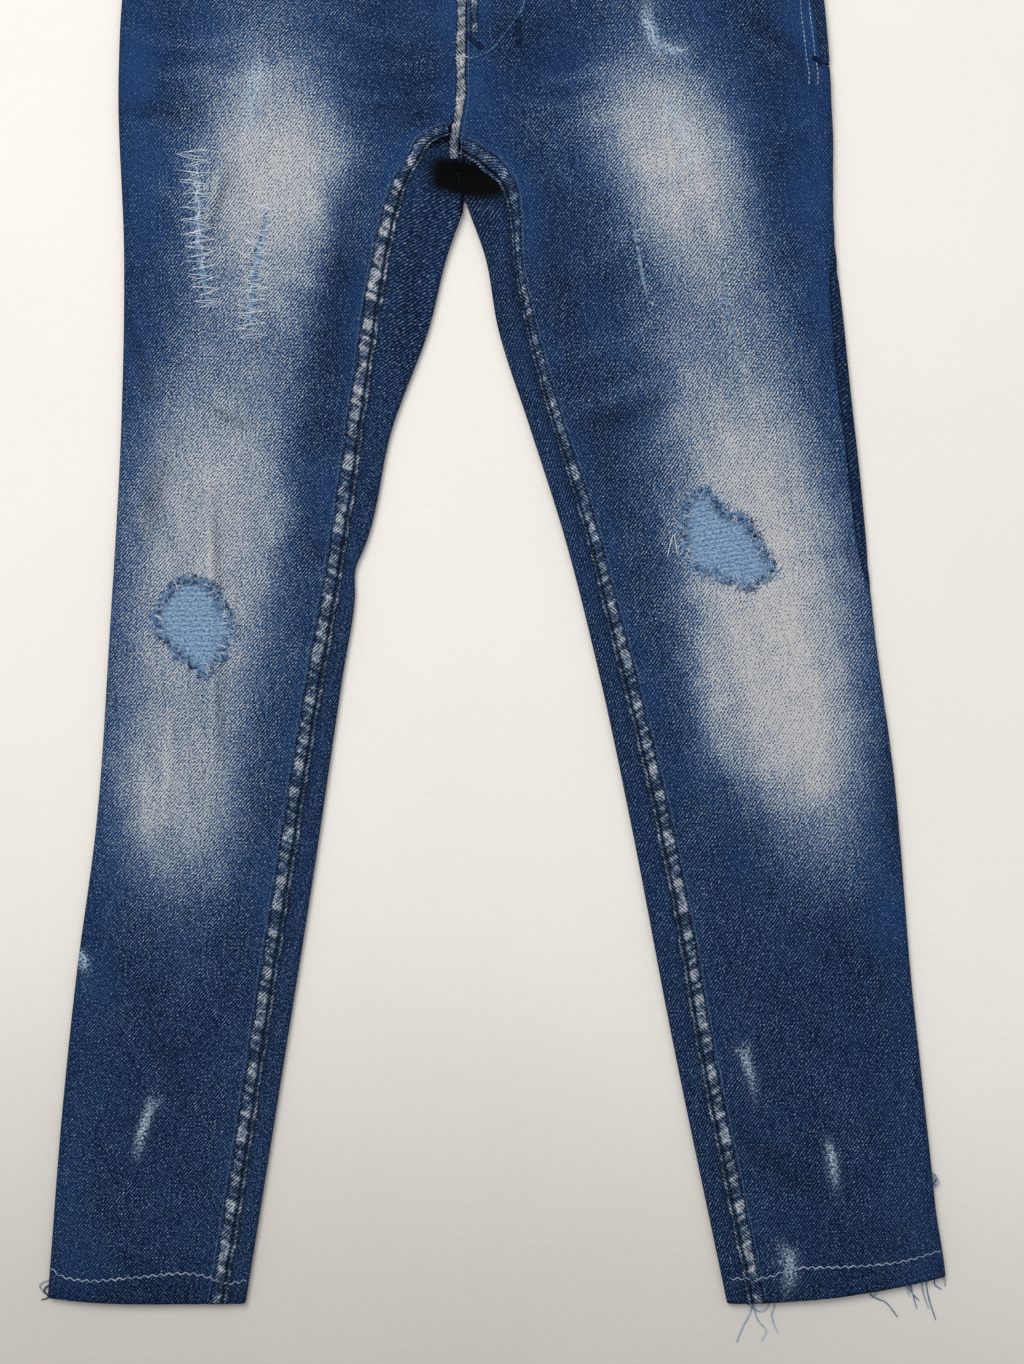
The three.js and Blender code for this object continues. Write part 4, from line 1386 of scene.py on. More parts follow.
    def place_seat(self, u: Array, v: Array) -> Laid:
        """Lays out the seat, underneath, up to the yoke seam.

        Args:
            u: places across the grid, from 0 to 1.
            v: places along the grid, from 0 to 1.

        Returns:
            Points, flat positions, and the fading, scuffs and painted shade, as Sheet.grid takes them.
        """
        leg = self.leg
        low = np.full_like(u, CROTCH_Y)
        y = CROTCH_Y + (YOKE_Y - CROTCH_Y) * v

        def path(at: Array) -> Array:
            """Returns the seat's points at a height."""
            centre = CB_X + leg.side * (2.2 + (0.2 - 2.2) * smooth((at - CROTCH_Y) / 20))
            return underneath(leg, at, u, centre)[0]

        fall = 1 - np.sin(np.minimum(1, (y - CROTCH_Y) / 14) * math.pi / 2)
        points = path(y) + (self.under(low, u) - path(low)) * fall[:, None]
        lean = np.clip((y - self.shift_from) / (YOKE_Y - self.shift_from), 0, 1)
        points[:, 1] += (yoke_y(points[:, 0]) - YOKE_Y - 0.4) * lean
        weave = columns(-leg.side * self.flat(self.wrap_cells + u * self.under_cells), y)
        return self.dress(points, weave, ramp(0.95, 0.98, u))

    def build(self, finishes: Finishes) -> Piece:
        """Builds the panel.

        Args:
            finishes: the garment's materials.

        Returns:
            The piece.
        """
        sheet = Sheet()
        flip = self.leg.side > 0
        sheet.grid(self.wrap_cells + self.under_cells, self.leg_rows, self.place_leg, flip)
        sheet.grid(self.wrap_cells, self.flap_rows, self.place_flap, flip)
        sheet.grid(self.under_cells, self.seat_rows, self.place_seat, flip)
        return sheet.finish(f"back_cloth_{self.leg.name}", finishes.denim)


@dataclass
class BackYoke:
    """The yoke between the seat and the waistband."""

    leg: Leg

    def place(self, u: Array, v: Array) -> Laid:
        """Lays the cloth out.

        Args:
            u: places across the grid, from 0 to 1.
            v: places along the grid, from 0 to 1.

        Returns:
            Points, flat positions and wear, as Sheet.grid takes them.
        """
        leg = self.leg
        y = YOKE_Y + (WAIST_Y - YOKE_Y) * v
        points, d = underneath(leg, y, u, CB_X + leg.side * 0.2)
        points[:, 1] += (yoke_y(points[:, 0]) + 0.4 - YOKE_Y) * (1 - v)
        points[:, 2] = np.maximum(points[:, 2], back_height(points[:, 0], points[:, 1]))
        weave = columns(-leg.side * d, y)
        plain = np.tile([0.12, 0.3, 0.1, 0.0], (len(u), 1))
        return points, weave, plain

    def build(self, finishes: Finishes) -> Piece:
        """Builds the yoke.

        Args:
            finishes: the garment's materials.

        Returns:
            The piece.
        """
        sheet = Sheet()
        sheet.grid(60, 18, self.place, self.leg.side > 0)
        return sheet.finish(f"yoke_cloth_{self.leg.name}", finishes.denim)


@dataclass
class Strip:
    """A plain piece of cloth over an even grid of the plan.

    span gives the first and last x at a height y, and level gives the height
    of the outer face.
    """

    name: str
    low: float
    high: float
    span: Callable[[Array], tuple[Array, Array]]
    level: Callable[[Array, Array], Array]
    cells: tuple[int, int]
    turn: float = 0.0
    slot: str = "denim"
    thickness: float = CLOTH

    def place(self, u: Array, v: Array) -> Laid:
        """Lays the cloth out.

        Args:
            u: places across the grid, from 0 to 1.
            v: places along the grid, from 0 to 1.

        Returns:
            Points, flat positions and wear, as Sheet.grid takes them.
        """
        y = self.low + (self.high - self.low) * v
        a, b = self.span(y)
        x = a + (b - a) * u
        points = columns(x, y - front_dip(x, y), self.level(x, y))
        c, s = math.cos(self.turn), math.sin(self.turn)
        weave = columns(c * x + s * y, c * y - s * x)
        return points, weave, np.tile([0.1, 0.25, 0.15, 0.0], (len(u), 1))

    def build(self, material: Material) -> Piece:
        """Builds the strip.

        Args:
            material: its finish.

        Returns:
            The piece.
        """
        sheet = Sheet()
        sheet.grid(*self.cells, self.place)
        return sheet.finish(self.name, material, self.thickness)


class Waistband:
    """The doubled band, from the underlap round the back to the overlap."""

    low = WAIST_Y + 0.6
    overlap_end = -27.0
    underlap_end = 14.0
    button_x = -14.0
    button_y = 481.0
    hole_x = button_x - 3

    def place(self, u: Array, v: Array) -> Laid:
        """Lays the cloth out.

        Args:
            u: places across the grid, from 0 to 1.
            v: places along the grid, from 0 to 1.

        Returns:
            Points, flat positions and wear, as Sheet.grid takes them.
        """
        y = self.low + (TOP_Y - self.low) * v
        bend = fold_radius(y) * (math.pi / 2 - 1)
        a = reach(RIGHT, y, self.underlap_end)
        b = np.abs(RIGHT.outer(y) - CB_X) + bend
        c = np.abs(LEFT.outer(y) - CB_X) + bend
        e = reach(LEFT, y, self.overlap_end)
        d = u * (a + b + c + e)
        first = round_fold(RIGHT, y, a - d, True)
        last = round_fold(LEFT, y, d - a - b - c, True)
        points = np.where((d < a + b)[:, None], first, last)
        points[:, 2] -= 2.75 * ramp(-54, -36, points[:, 0]) * (d < a)
        rubbed = 0.35 * bell(v - 1, 0.06) + 0.2 * bell(v, 0.05)
        return points, columns(d, y), columns(0.16 + rubbed, 0.3, 0.1, 0.0)

    def build(self, finishes: Finishes) -> Piece:
        """Builds the band and stitches its buttonhole.

        Args:
            finishes: the garment's materials.

        Returns:
            The band.
        """
        sheet = Sheet()
        sheet.grid(520, 16, self.place, True)
        turn = np.linspace(0, 2 * math.pi, 28, endpoint=False)
        hole = columns(self.hole_x + 6.5 * np.cos(turn), self.button_y + 1.4 * np.sin(turn))
        sheet.cut_hole(hole, 9.5)
        band = sheet.finish("waistband_cloth", finishes.denim, thickness=2.3)
        bars = []
        for angle in np.linspace(0, 2 * math.pi, 40, endpoint=False):
            t = np.linspace(1.1, 1.5, 4)
            x = self.hole_x + (6.2 + 1.6 * t) * math.cos(angle)
            y = self.button_y + (0.4 + 1.8 * t) * math.sin(angle)
            bars.append(columns(x, y, 10.3))
        tubes("buttonhole_stitching", bars, 0.32, finishes.navy)
        return band


def turned_button(finishes: Finishes) -> Piece:
    """The riveted waist button: a dished, rimmed cap on a short shank.

    Args:
        finishes: the garment's materials.

    Returns:
        The piece.
    """
    profile = (
        (0.0, 11.9), (2.4, 11.9), (3.1, 12.2), (5.6, 12.1), (6.6, 12.5), (7.6, 12.7), (8.3, 12.4),
        (8.5, 11.9), (8.0, 11.5), (6.0, 11.3), (3.4, 11.2), (3.0, 10.6), (3.0, 8.5), (4.2, 8.2), (0.0, 8.1),
    )
    bm = bmesh.new()
    verts = [bm.verts.new(Vector((r, 0, z)) * MM) for r, z in profile]
    edges = [bm.edges.new(pair) for pair in zip(verts, verts[1:])]
    bmesh.ops.spin(
        bm, geom=verts + edges, cent=(0, 0, 0), axis=(0, 0, 1), angle=2 * math.pi, steps=44,
        use_merge=True,
    )
    bmesh.ops.remove_doubles(bm, verts=bm.verts, dist=1e-6)
    bmesh.ops.recalc_face_normals(bm, faces=bm.faces)
    bmesh.ops.translate(bm, verts=bm.verts, vec=Vector((Waistband.button_x, Waistband.button_y, 0)) * MM)
    return bare_object("brass_button", mesh_of("button", bm), finishes.brass)


# ---------------------------------------------------------------- seams
@dataclass
class FelledSeam:
    """A felled seam standing up as a puckered, rubbed band along a line that runs up.

    side is the direction, in x, of its narrow second rib; twin says that it
    has one. width and pale are given up the garment: how wide it is in mm,
    and how far its ribs are rubbed pale. The grooves beside the ribs and the
    hollows between puckers get painted shade.
    """

    name: str
    line: Array
    side: int
    width: Curve
    pale: Curve
    height: float = 1.2
    base: float = 0.16
    twin: bool = True

    def build(self, finishes: Finishes) -> Piece:
        """Builds the band and sews the row of stitches beside it.

        Args:
            finishes: the garment's materials.

        Returns:
            The band.
        """
        line = even_steps(self.line, 0.9)
        run = run_of(line)
        across = sideways(line)
        across *= np.sign(across[:, :1]) * self.side
        if self.twin:
            line = line + across * (self.width(line[:, 1]) * 0.16)[:, None]
        count = len(line) - 1

        def place(u: Array, v: Array) -> Laid:
            """Lays the cloth out: see Sheet.grid."""
            row = np.rint(v * count).astype(int)
            t = u * 2 - 1
            s = run[row]
            waist = 1 + 0.12 * ripple(s, s * 0, 31) + 0.08 * ripple(s, s * 0, 11, 3.0)
            half = self.width(line[row, 1]) / 2
            pale = self.pale(line[row, 1])
            plan = line[row] + across[row] * (t * half * waist)[:, None]
            points = on_front(plan[:, 0], plan[:, 1])
            blocks = 0.8 * ripple(s + 2.2 * t, 3 * t, 21, 2.0) + 0.9 * ripple(s + t, 2 * t, 8, 3.0)
            pucker = smooth((blocks + 0.9 + 0.6 * ripple(s, t * 5, 5, 4.0)) / 2.3)
            broad = bell(t + 0.3, 0.62, 7.0) if self.twin else bell(t, 0.84, 8.0)
            narrow = bell(t - 0.72, 0.2, 4.0) if self.twin else 0.0 * t
            crest = np.maximum(broad, narrow)
            points[:, 2] += crest * self.height * (0.6 + 0.4 * pucker) - 0.35 * (1 - crest)
            mottled = self.base + (pale - self.base) * pucker
            fade = np.maximum(broad * mottled, narrow * (0.16 + 0.5 * mottled))
            phase = 2 * math.pi * (s - 1.4 * t * half) / 3.3 + 2.5 * ripple(s, t * 9, 14, 7.0)
            fade = fade * (0.6 + 1.1 * (0.5 + 0.5 * np.sin(phase)))
            # painted shade in the grooves beside the ribs and in the hollows between puckers
            painted_shade = np.clip(0.9 * (1 - crest) + 0.5 * (1 - pucker), 0, 1)
            worn_and_shaded = columns(np.clip(fade, 0, 1), 0.2, painted_shade, 0.0)
            weave = columns(t * half + 40, s)
            return points, weave, worn_and_shaded

        sheet = Sheet()
        sheet.grid(14, count, place, self.side < 0)
        band = sheet.finish(self.name, finishes.denim, 0.9)
        wobble = 0.25 * ripple(line[:, 1], line[:, 1], 17, 2.0)
        half = self.width(line[:, 1]) / 2
        row = stitches(line - across * (half + 1.4 + wobble)[:, None], 3.1, 0.92, 0.1)
        tubes(self.name + "_topstitch", row, 0.36, finishes.seam_thread)
        return band


def inseam_line(leg: Leg, top: float) -> Array:
    """Returns the inseam from the hem to a height, in plan points in mm."""
    y = np.linspace(HEM_Y + 1.0, top, 900)
    return columns(leg.inseam(y), y)


# ---------------------------------------------------------------- threads
class Thread(Enum):
    """The yarns that show, by their colour."""

    WHITE = "mending"
    GREY = "topstitch"
    NAVY = "navy"
    BLUE = "blue"
    INDIGO = "indigo"


def over_cloth(plan: Array, lift: Array | float) -> Array:
    """Lays plan points on the front.

    Args:
        plan: points in mm.
        lift: how far above the cloth, in mm.

    Returns:
        Points in mm, with three coordinates.
    """
    points = on_front(plan[:, 0], plan[:, 1])
    points[:, 2] += lift
    return points


class Yarns:
    """Collects loose and sewn yarns and makes one piece for each kind."""

    def __init__(self) -> None:
        """Starts with none, and a fixed source of chance."""
        self.rng = np.random.default_rng(SEED)
        self.paths: dict[tuple[str, Thread, float], list[Array]] = {}

    def add(self, group: str, kind: Thread, radius: float, path: Array) -> None:
        """Adds one yarn, its path in mm."""
        self.paths.setdefault((group, kind, radius), []).append(path)

    def fray(
        self, group: str, outline: Array, density: float, length: float, mix: Sequence[Thread]
    ) -> None:
        """Lays broken yarns along the torn edge of a hole.

        Args:
            group: the piece that they belong to.
            outline: the edge, plan points in mm.
            density: yarns to a step of the outline.
            length: a typical yarn, in mm, negative to lie away from the hole.
            mix: the yarns to choose from.
        """
        across = sideways(outline)
        centre = outline.mean(axis=0)
        towards = np.sign(((centre - outline) * across).sum(axis=1, keepdims=True))
        across = across * np.where(towards == 0, 1, towards)
        along = columns(across[:, 1], -across[:, 0])
        rng = self.rng
        for _ in range(int(len(outline) * density)):
            k = rng.integers(len(outline))
            size = length * rng.uniform(0.35, 1.25)
            lean = rng.normal(0, 0.9)
            heading = across[k] * math.cos(lean) + along[k] * math.sin(lean)
            root = outline[k] - across[k] * rng.uniform(0.2, 2.2)
            t = np.linspace(0, 1, 7)[:, None]
            curl = rng.normal(0, 0.32) * size
            side = np.array([-heading[1], heading[0]])
            swing = rng.uniform(4, 11)
            plan = root + heading * size * t + side * curl * t**2 + side * 0.5 * np.sin(t * swing)
            arch = rng.uniform(0.0, 0.9) * np.sin(np.pi * np.minimum(t[:, 0] * 1.3, 1.0))
            lift = 0.15 + arch - (0.9 if length > 0 else 0.2) * t[:, 0]
            self.add(group, mix[rng.integers(len(mix))], 0.24, over_cloth(plan, lift))

    def build(self, finishes: Finishes) -> None:
        """Makes the pieces.

        Args:
            finishes: the garment's materials.
        """
        for (group, kind, radius), paths in self.paths.items():
            name = f"{group}_{kind.name.lower()}_{int(radius * 100)}"
            tubes(name, paths, radius, getattr(finishes, kind.value), sides=4)


def mend(yarns: Yarns, tear: Tear, start: float) -> None:
    """Sews a tear shut with white zigzags that reach past its sides.

    Args:
        yarns: where the thread is added.
        tear: what is sewn.
        start: the height from which it is sewn downwards, in mm.
    """
    rng = yarns.rng
    line = smooth_line(((tear.points[0][0], start), *tear.points), 1.0)
    across = sideways(line)
    k = 0.0
    side = 1
    while k < len(line) - 1:
        here = int(k)
        there = min(len(line) - 1, here + int(rng.uniform(3, 5)))
        for strand in range(2):
            far = rng.uniform(8.5, 12.5)
            near = rng.uniform(5.0, 9.5)
            a = line[here] + across[here] * side * far + (0, rng.normal(0, 0.5))
            b = line[there] - across[there] * side * near + (0, rng.normal(0, 0.8))
            t = np.linspace(0, 1, 9)[:, None]
            plan = a + (b - a) * t
            plan[:, 1] += np.sin(np.pi * t[:, 0]) * rng.normal(0, 0.9)
            lift = 0.2 + 0.12 * strand - 0.45 * np.abs(t[:, 0] * 2 - 1) ** 6
            yarns.add("mending", Thread.WHITE, 0.26, over_cloth(plan, lift))
        k += rng.uniform(3.6, 5.2)
        side = -side
    for strand in range(12):
        sway = rng.normal(0, 1.0, len(line))
        soft = np.convolve(sway, np.ones(9) / 9, "same") * 5
        cuts = np.sort(rng.integers(0, len(line), 8))
        for a, b in zip(cuts, cuts[1:]):
            if b - a > 6:
                plan = line[a:b] + across[a:b] * (soft[a:b] + rng.normal(0, 1.4))[:, None]
                kind = Thread.BLUE if strand % 4 else Thread.WHITE
                yarns.add("mending", kind, 0.28, over_cloth(plan, rng.uniform(-0.6, 0.1)))


def bar_tack(yarns: Yarns, a: tuple[float, float], b: tuple[float, float]) -> None:
    """Sews a dense short bar of crosswise stitches.

    Args:
        yarns: where the thread is added.
        a: one end of the bar, in mm.
        b: its other end.
    """
    line = even_steps(np.array([a, b], float), 0.75)
    t = np.linspace(-1, 1, 5)
    for point, over in zip(line, sideways(line)):
        plan = point + over * (t * 1.7)[:, None]
        yarns.add("bar_tacks", Thread.NAVY, 0.5, over_cloth(plan, 0.6 - 0.7 * t**4))


def loose_thread(
    yarns: Yarns, kind: Thread, radius: float, height: float, *points: tuple[float, float]
) -> None:
    """Lays a loose thread on the floor.

    Args:
        yarns: where the thread is added.
        kind: its colour.
        radius: of the thread, in mm.
        height: above the floor, in mm.
        points: plan points that it passes, in mm.
    """
    plan = smooth_line(points, 0.9)
    wobble = 0.35 * ripple(plan[:, 0], plan[:, 1], 5)
    z = np.full(len(plan), height) + wobble
    yarns.add("loose_threads", kind, radius, np.column_stack([plan, np.maximum(z, radius)]))


# kind, radius and height above the floor, then plan points, all in mm
LOOSE_THREADS = (
    (Thread.NAVY, 0.5, 1.2, (-303, -499), (-309, -504), (-306, -509), (-311, -511)),
    (Thread.GREY, 0.4, 0.8, (-305, -497), (-312, -501), (-309, -507)),
    (
        Thread.BLUE, 0.35, 0.8, (168, -505), (172, -514), (180, -519), (186, -515),
        (182, -509), (176, -514), (178, -524), (184, -532), (181, -539),
    ),
    (Thread.BLUE, 0.35, 0.6, (186, -503), (190, -514), (188, -522), (192, -534)),
    (Thread.BLUE, 0.35, 0.6, (176, -504), (174, -518), (168, -530), (164, -540)),
    (Thread.INDIGO, 0.4, 0.7, (250, -496), (256, -508), (266, -513), (274, -523)),
    (Thread.BLUE, 0.35, 0.7, (257, -498), (260, -506), (256, -510)),
    *(
        (Thread.INDIGO if k % 3 else Thread.GREY, 0.4, 0.7, (x, -492),
         (x + 3.0 * math.sin(2.1 * k + 0.4), -497 - 0.4 * size), (x + 0.25 * size, -497 - size))
        for k, (x, size) in enumerate(
            ((279, 12), (282, 20), (285, 15), (290, 20), (293, 28), (302, 7), (305, 5))
        )
    ),
    (
        Thread.GREY, 0.6, 3.4, (291, -422), (298, -425), (301, -430), (297, -434), (294, -431),
        (297, -427), (299, -432),
    ),
    (Thread.NAVY, 0.5, 2.4, (292, -426), (297, -424), (300, -428), (295, -435)),
)


# ---------------------------------------------------------------- assembly
MOUTHS = {
    "right": (378.0, lambda y: 10 + 36 * ramp(380, 500, y)),
    "left": (326.0, lambda y: 10 + 38 * ramp(350, 500, y)),
}
FLY_CURVE = ((19, 388), (19, 375), (15, 365), (4, 349), (-4, 339.5), (-15, 334.5), (-25, 334))
HEM_STITCHES = (
    (
        (-304, -490), (-294, -496), (-275, -497), (-250, -494), (-212, -491), (-195, -494),
        (-184, -498), (-170, -496),
    ),
    (
        (158, -494.7), (171, -494.7), (186, -494), (196, -490), (203, -488.5), (224, -489.5),
        (260, -492), (281, -492), (302, -489),
    ),
)
POCKET_CURVE = ((212, 388), (212, 375), (213, 362), (215, 347), (216, 337), (218, 325), (218, 316))


def below(gap: float) -> Callable[[Array, Array], Array]:
    """Returns a level that lies this far under the front's upper face."""
    return lambda x, y: top_height(x, y) - gap


def between(a: float, b: float) -> Callable[[Array], tuple[Array, Array]]:
    """Returns a span with straight sides."""
    return lambda y: (np.full_like(y, a), np.full_like(y, b))


@dataclass(frozen=True)
class Cut:
    """The flat cloth that a piece was cut from.

    width and length are in mm and area in mm2, or None for a rectangle. on is
    what the piece lies on, sewn the beginnings of the names of what is on it.
    """

    piece: str
    width: float
    length: float
    area: float | None
    on: tuple[str, ...]
    sewn: tuple[str, ...] = ()

    def declare(self) -> None:
        """Does nothing: the cut is not declared anywhere."""


FLOOR = ("floor_cloth",)
BACKS = {leg.name: (f"back_cloth_{leg.name}",) for leg in LEGS}
CUTS = (
    Cut("back_cloth_right", 258, 937, 184300, FLOOR),
    Cut("back_cloth_left", 270, 937, 203500, FLOOR),
    Cut("yoke_cloth_right", 233, 79, 13900, FLOOR),
    Cut("yoke_cloth_left", 239, 79, 14300, FLOOR),
    Cut("back_pocket_cloth_right", 144, 148, 19000, FLOOR),
    Cut("back_pocket_cloth_left", 144, 148, 19000, FLOOR),
    Cut(
        "front_cloth_right", 244, 986, 158500, BACKS["right"],
        ("inseam_band_right", "front_rise_band", "knee_fray_right", "mending", "hem_topstitch"),
    ),
    Cut(
        "front_cloth_left", 274, 986, 179500, BACKS["left"],
        ("inseam_band_left", "fly_edge", "fly_and", "fly_stitch", "fly_topstitch", "knee_fray_left",
         "thigh_fray_left", "bar_tacks", "loose_threads"),
    ),
    Cut("fly_facing_cloth", 43, 134, 4300, BACKS["right"]),
    Cut("pocket_facing_cloth_right", 56, 95.5, 3430, BACKS["right"]),
    Cut("pocket_facing_cloth_left", 66, 147.5, 5900, BACKS["left"]),
    Cut("knee_patch_cloth_right", 90, 106, None, BACKS["right"]),
    Cut("knee_patch_cloth_left", 100, 106, None, BACKS["left"]),
    Cut("thigh_patch_cloth_right", 82, 156, None, BACKS["right"]),
    Cut("thigh_patch_cloth_left", 112, 154, None, BACKS["left"]),
    Cut("waistband_cloth", 936, 39.4, 36600, ("yoke_cloth_right", "yoke_cloth_left"), ("buttonhole",)),
    *(
        Cut(f"belt_loop_cloth_{at}", 11, 44, None, ("waistband_cloth",))
        for at in ("front_right", "front_left", "back_right", "back_left", "back_centre")
    ),
)


class Jeans:
    """The whole garment, built piece by piece."""

    def __init__(self) -> None:
        """Makes the finishes and starts with no yarns."""
        self.finishes = Finishes.make()
        self.yarns = Yarns()

    def panels(self) -> None:
        """Builds the four panels, the yokes and the waistband."""
        f = self.finishes
        shown = {
            "right": ((KNEE_HOLE_RIGHT,), MENDED_TEARS),
            "left": ((KNEE_HOLE_LEFT,), THIN_TEARS),
        }
        for leg, tip in ((RIGHT, 275.0), (LEFT, 272.0)):
            foot, mouth = MOUTHS[leg.name]
            holes, tears = shown[leg.name]
            front = FrontPanel(leg, foot, mouth, holes, tears)
            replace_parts(front.build(f), f"front_panel_{leg.name}")
            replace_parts(BackPanel(leg, tip).build(f), f"back_panel_{leg.name}")
            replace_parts(BackYoke(leg).build(f), f"back_yoke_{leg.name}")
            self.pocket_facing(leg)
        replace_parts(Waistband().build(f), "waistband")
        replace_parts(turned_button(f), "waist_button")

    def pocket_facing(self, leg: Leg) -> None:
        """Builds the cloth that shows in a front pocket's mouth.

        Args:
            leg: whose side it is on.
        """
        foot, mouth = MOUTHS[leg.name]
        sheet = Sheet()

        def place(u: Array, v: Array) -> Laid:
            """Lays the cloth out: see Sheet.grid."""
            y = foot + 0.5 + (WAIST_Y - foot - 0.5) * v
            start = leg.seam_at(y) + SEAM_GAP
            wide = (mouth(y) + 9 - start) * ramp(foot, foot + 12, y)
            s = start + (wide + 0.3) * u
            points = round_fold(leg, y, s, True)
            points[:, 2] -= 1.25 * ramp(mouth(y) - 9, mouth(y) - 2, s)
            # painted shade inside the pocket mouth, on cloth that is also less faded
            worn_and_shaded = np.tile([0.06, 0.2, 0.35, 0.0], (len(u), 1))
            return points, columns(-leg.side * s, y), worn_and_shaded

        sheet.grid(16, 60, place, leg.side > 0)
        piece = sheet.finish(f"pocket_facing_cloth_{leg.name}", self.finishes.denim, thickness=0.9)
        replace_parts(piece, f"pocket_facing_{leg.name}")

    def small_cloth(self) -> None:
        """Builds the patches, the fly facing, the back pockets and the belt loops."""
        f = self.finishes
        fly_y = np.array([p[1] for p in FLY_CURVE][::-1] + [WAIST_Y - 2])
        fly_x = np.array([p[0] for p in FLY_CURVE][::-1] + [16.0])
        fly = Strip(
            "fly_facing_cloth", 338, 472,
            lambda y: (LEFT.inseam(y) - 5, np.interp(y, fly_y, fly_x) - 3),
            below(CLOTH + 0.3), (10, 40),
        ).build(f.denim)
        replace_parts(fly, "fly_facing")
        for leg, (a, b, low, high), tilt in (
            (RIGHT, (-250, -160, -106, 0), 0.0), (LEFT, (106, 206, -46, 60), 0.17),
        ):
            knee = Strip(
                f"knee_patch_cloth_{leg.name}", low, high, between(a, b), knee_level(a + 0.6 * (b - a)),
                (90, 110), turn=tilt, slot="patch_cloth", thickness=0.8,
            )
            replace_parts(knee.build(f.patch), f"knee_patch_{leg.name}")
        for leg, (a, b, low, high) in ((RIGHT, (-222, -140, 126, 282)), (LEFT, (74, 186, 102, 256))):
            thigh = Strip(
                f"thigh_patch_cloth_{leg.name}", low, high, between(a, b), below(CLOTH + 0.4),
                (40, 70), slot="patch_cloth", thickness=0.8,
            )
            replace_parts(thigh.build(f.patch), f"thigh_patch_{leg.name}")
        for leg, middle in ((RIGHT, -128.0), (LEFT, 96.0)):
            self.back_pocket(leg, middle)
        for name, x in (("front_right", -122.0), ("front_left", 92.0)):
            self.belt_loop(name, x, False)
        for name, x in (("back_right", -150.0), ("back_centre", -15.0), ("back_left", 120.0)):
            self.belt_loop(name, x, True)

    def back_pocket(self, leg: Leg, middle: float) -> None:
        """Builds a back pocket with a point at its foot.

        Args:
            leg: whose side it is on.
            middle: the x of its middle, in mm.
        """
        foot, mouth, point = 258, 388, 18
        half, flare = 65, 7
        sheet = Sheet()

        def place(u: Array, v: Array) -> Laid:
            """Lays the cloth out: see Sheet.grid."""
            low = foot - point * (1 - np.abs(2 * u - 1))
            y = low + (mouth - low) * v
            x = middle + (2 * u - 1) * (half + flare * (y - foot) / (mouth - foot))
            rim = np.maximum(np.abs(2 * u - 1), np.abs(2 * v - 1)) ** 12
            worn_and_shaded = columns(0.08 + 0.3 * rim, 0.3, 0.1, 0.0)
            return columns(x, y, 0.0), columns(-x, y), worn_and_shaded

        sheet.grid(36, 36, place, True)
        piece = sheet.finish(f"back_pocket_cloth_{leg.name}", self.finishes.denim)
        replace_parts(piece, f"back_pocket_{leg.name}")

    def belt_loop(self, name: str, x: float, behind: bool) -> None:
        """Builds one belt loop, standing off the band between its two ends.

        Args:
            name: which loop it is.
            x: across the garment, in mm.
            behind: it is on the back.
        """
        foot, length, width = 469, 44, 11
        sheet = Sheet()

        def place(u: Array, v: Array) -> Laid:
            """Lays the cloth out: see Sheet.grid."""
            y = foot + length * v
            rise = smooth(v / 0.16) * (1 - 0.6 * smooth((v - 0.88) / 0.12))
            px = x + (u - 0.5) * width
            z = WAIST_TOP + 1.0 + 1.4 * rise - 0.15 * (2 * u - 1) ** 2
            dip = front_dip(px, y)
            if behind:
                z = 0.9 - 0.9 * rise
                dip = 0
            worn_and_shaded = columns(0.12 + 0.35 * np.abs(2 * u - 1) ** 3, 0.3, 0.1, 0.0)
            return columns(px, y - dip, z), columns(px, y), worn_and_shaded

        sheet.grid(8, 34, place, behind)
        piece = sheet.finish(f"belt_loop_cloth_{name}", self.finishes.denim, thickness=0.95)
        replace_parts(piece, f"belt_loop_{name}")

    def seams(self) -> None:
        """Builds the felled seams that show on the front and their stitches."""
        f = self.finishes
        right = FelledSeam(
            "inseam_band_right", inseam_line(RIGHT, 287.0), 1,
            Curve((HEM_Y, 12.0), (120, 12.4), (230, 12.0), (287, 8.0)),
            Curve((HEM_Y, 0.8), (-300, 0.74), (40, 0.8), (250, 0.9), (287, 0.4)),
        )
        left = FelledSeam(
            "inseam_band_left", inseam_line(LEFT, 276.0), -1,
            Curve(
                (HEM_Y, 11.8), (-40, 10.6), (110, 8.4), (226, 8.0), (242, 10.5), (258, 12.5),
                (276, 12.0),
            ),
            Curve((HEM_Y, 0.86), (-40, 0.76), (120, 0.56), (226, 0.46), (276, 0.3)),
        )
        y = np.linspace(266.0, WAIST_Y, 420)
        line = Curve(
            (266, -28.8), (276, -29), (288, -27.3), (307, -24.3), (330, -24.3), (375, -23.6),
            (WAIST_Y, -23),
        )
        rise = FelledSeam(
            "front_rise_band", columns(line(y), y), -1,
            Curve((266, 7.5), (WAIST_Y, 8.0)),
            Curve((266, 0.5), (284, 0.9), (300, 1.0), (WAIST_Y, 1.0)), 1.7, 0.5, False,
        )
        y = np.linspace(352.0, WAIST_Y, 240)
        fly = FelledSeam(
            "fly_edge_band", columns(-15.0, y), 1,
            Curve((352, 6.0), (WAIST_Y, 6.0)), Curve((352, 0.7), (WAIST_Y, 0.8)), 1.5, 0.2, False,
        )
        fly.build(f)
        for seam, node in ((right, "inseam_right"), (left, "inseam_left"), (rise, "front_rise_seam")):
            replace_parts(seam.build(f), node)

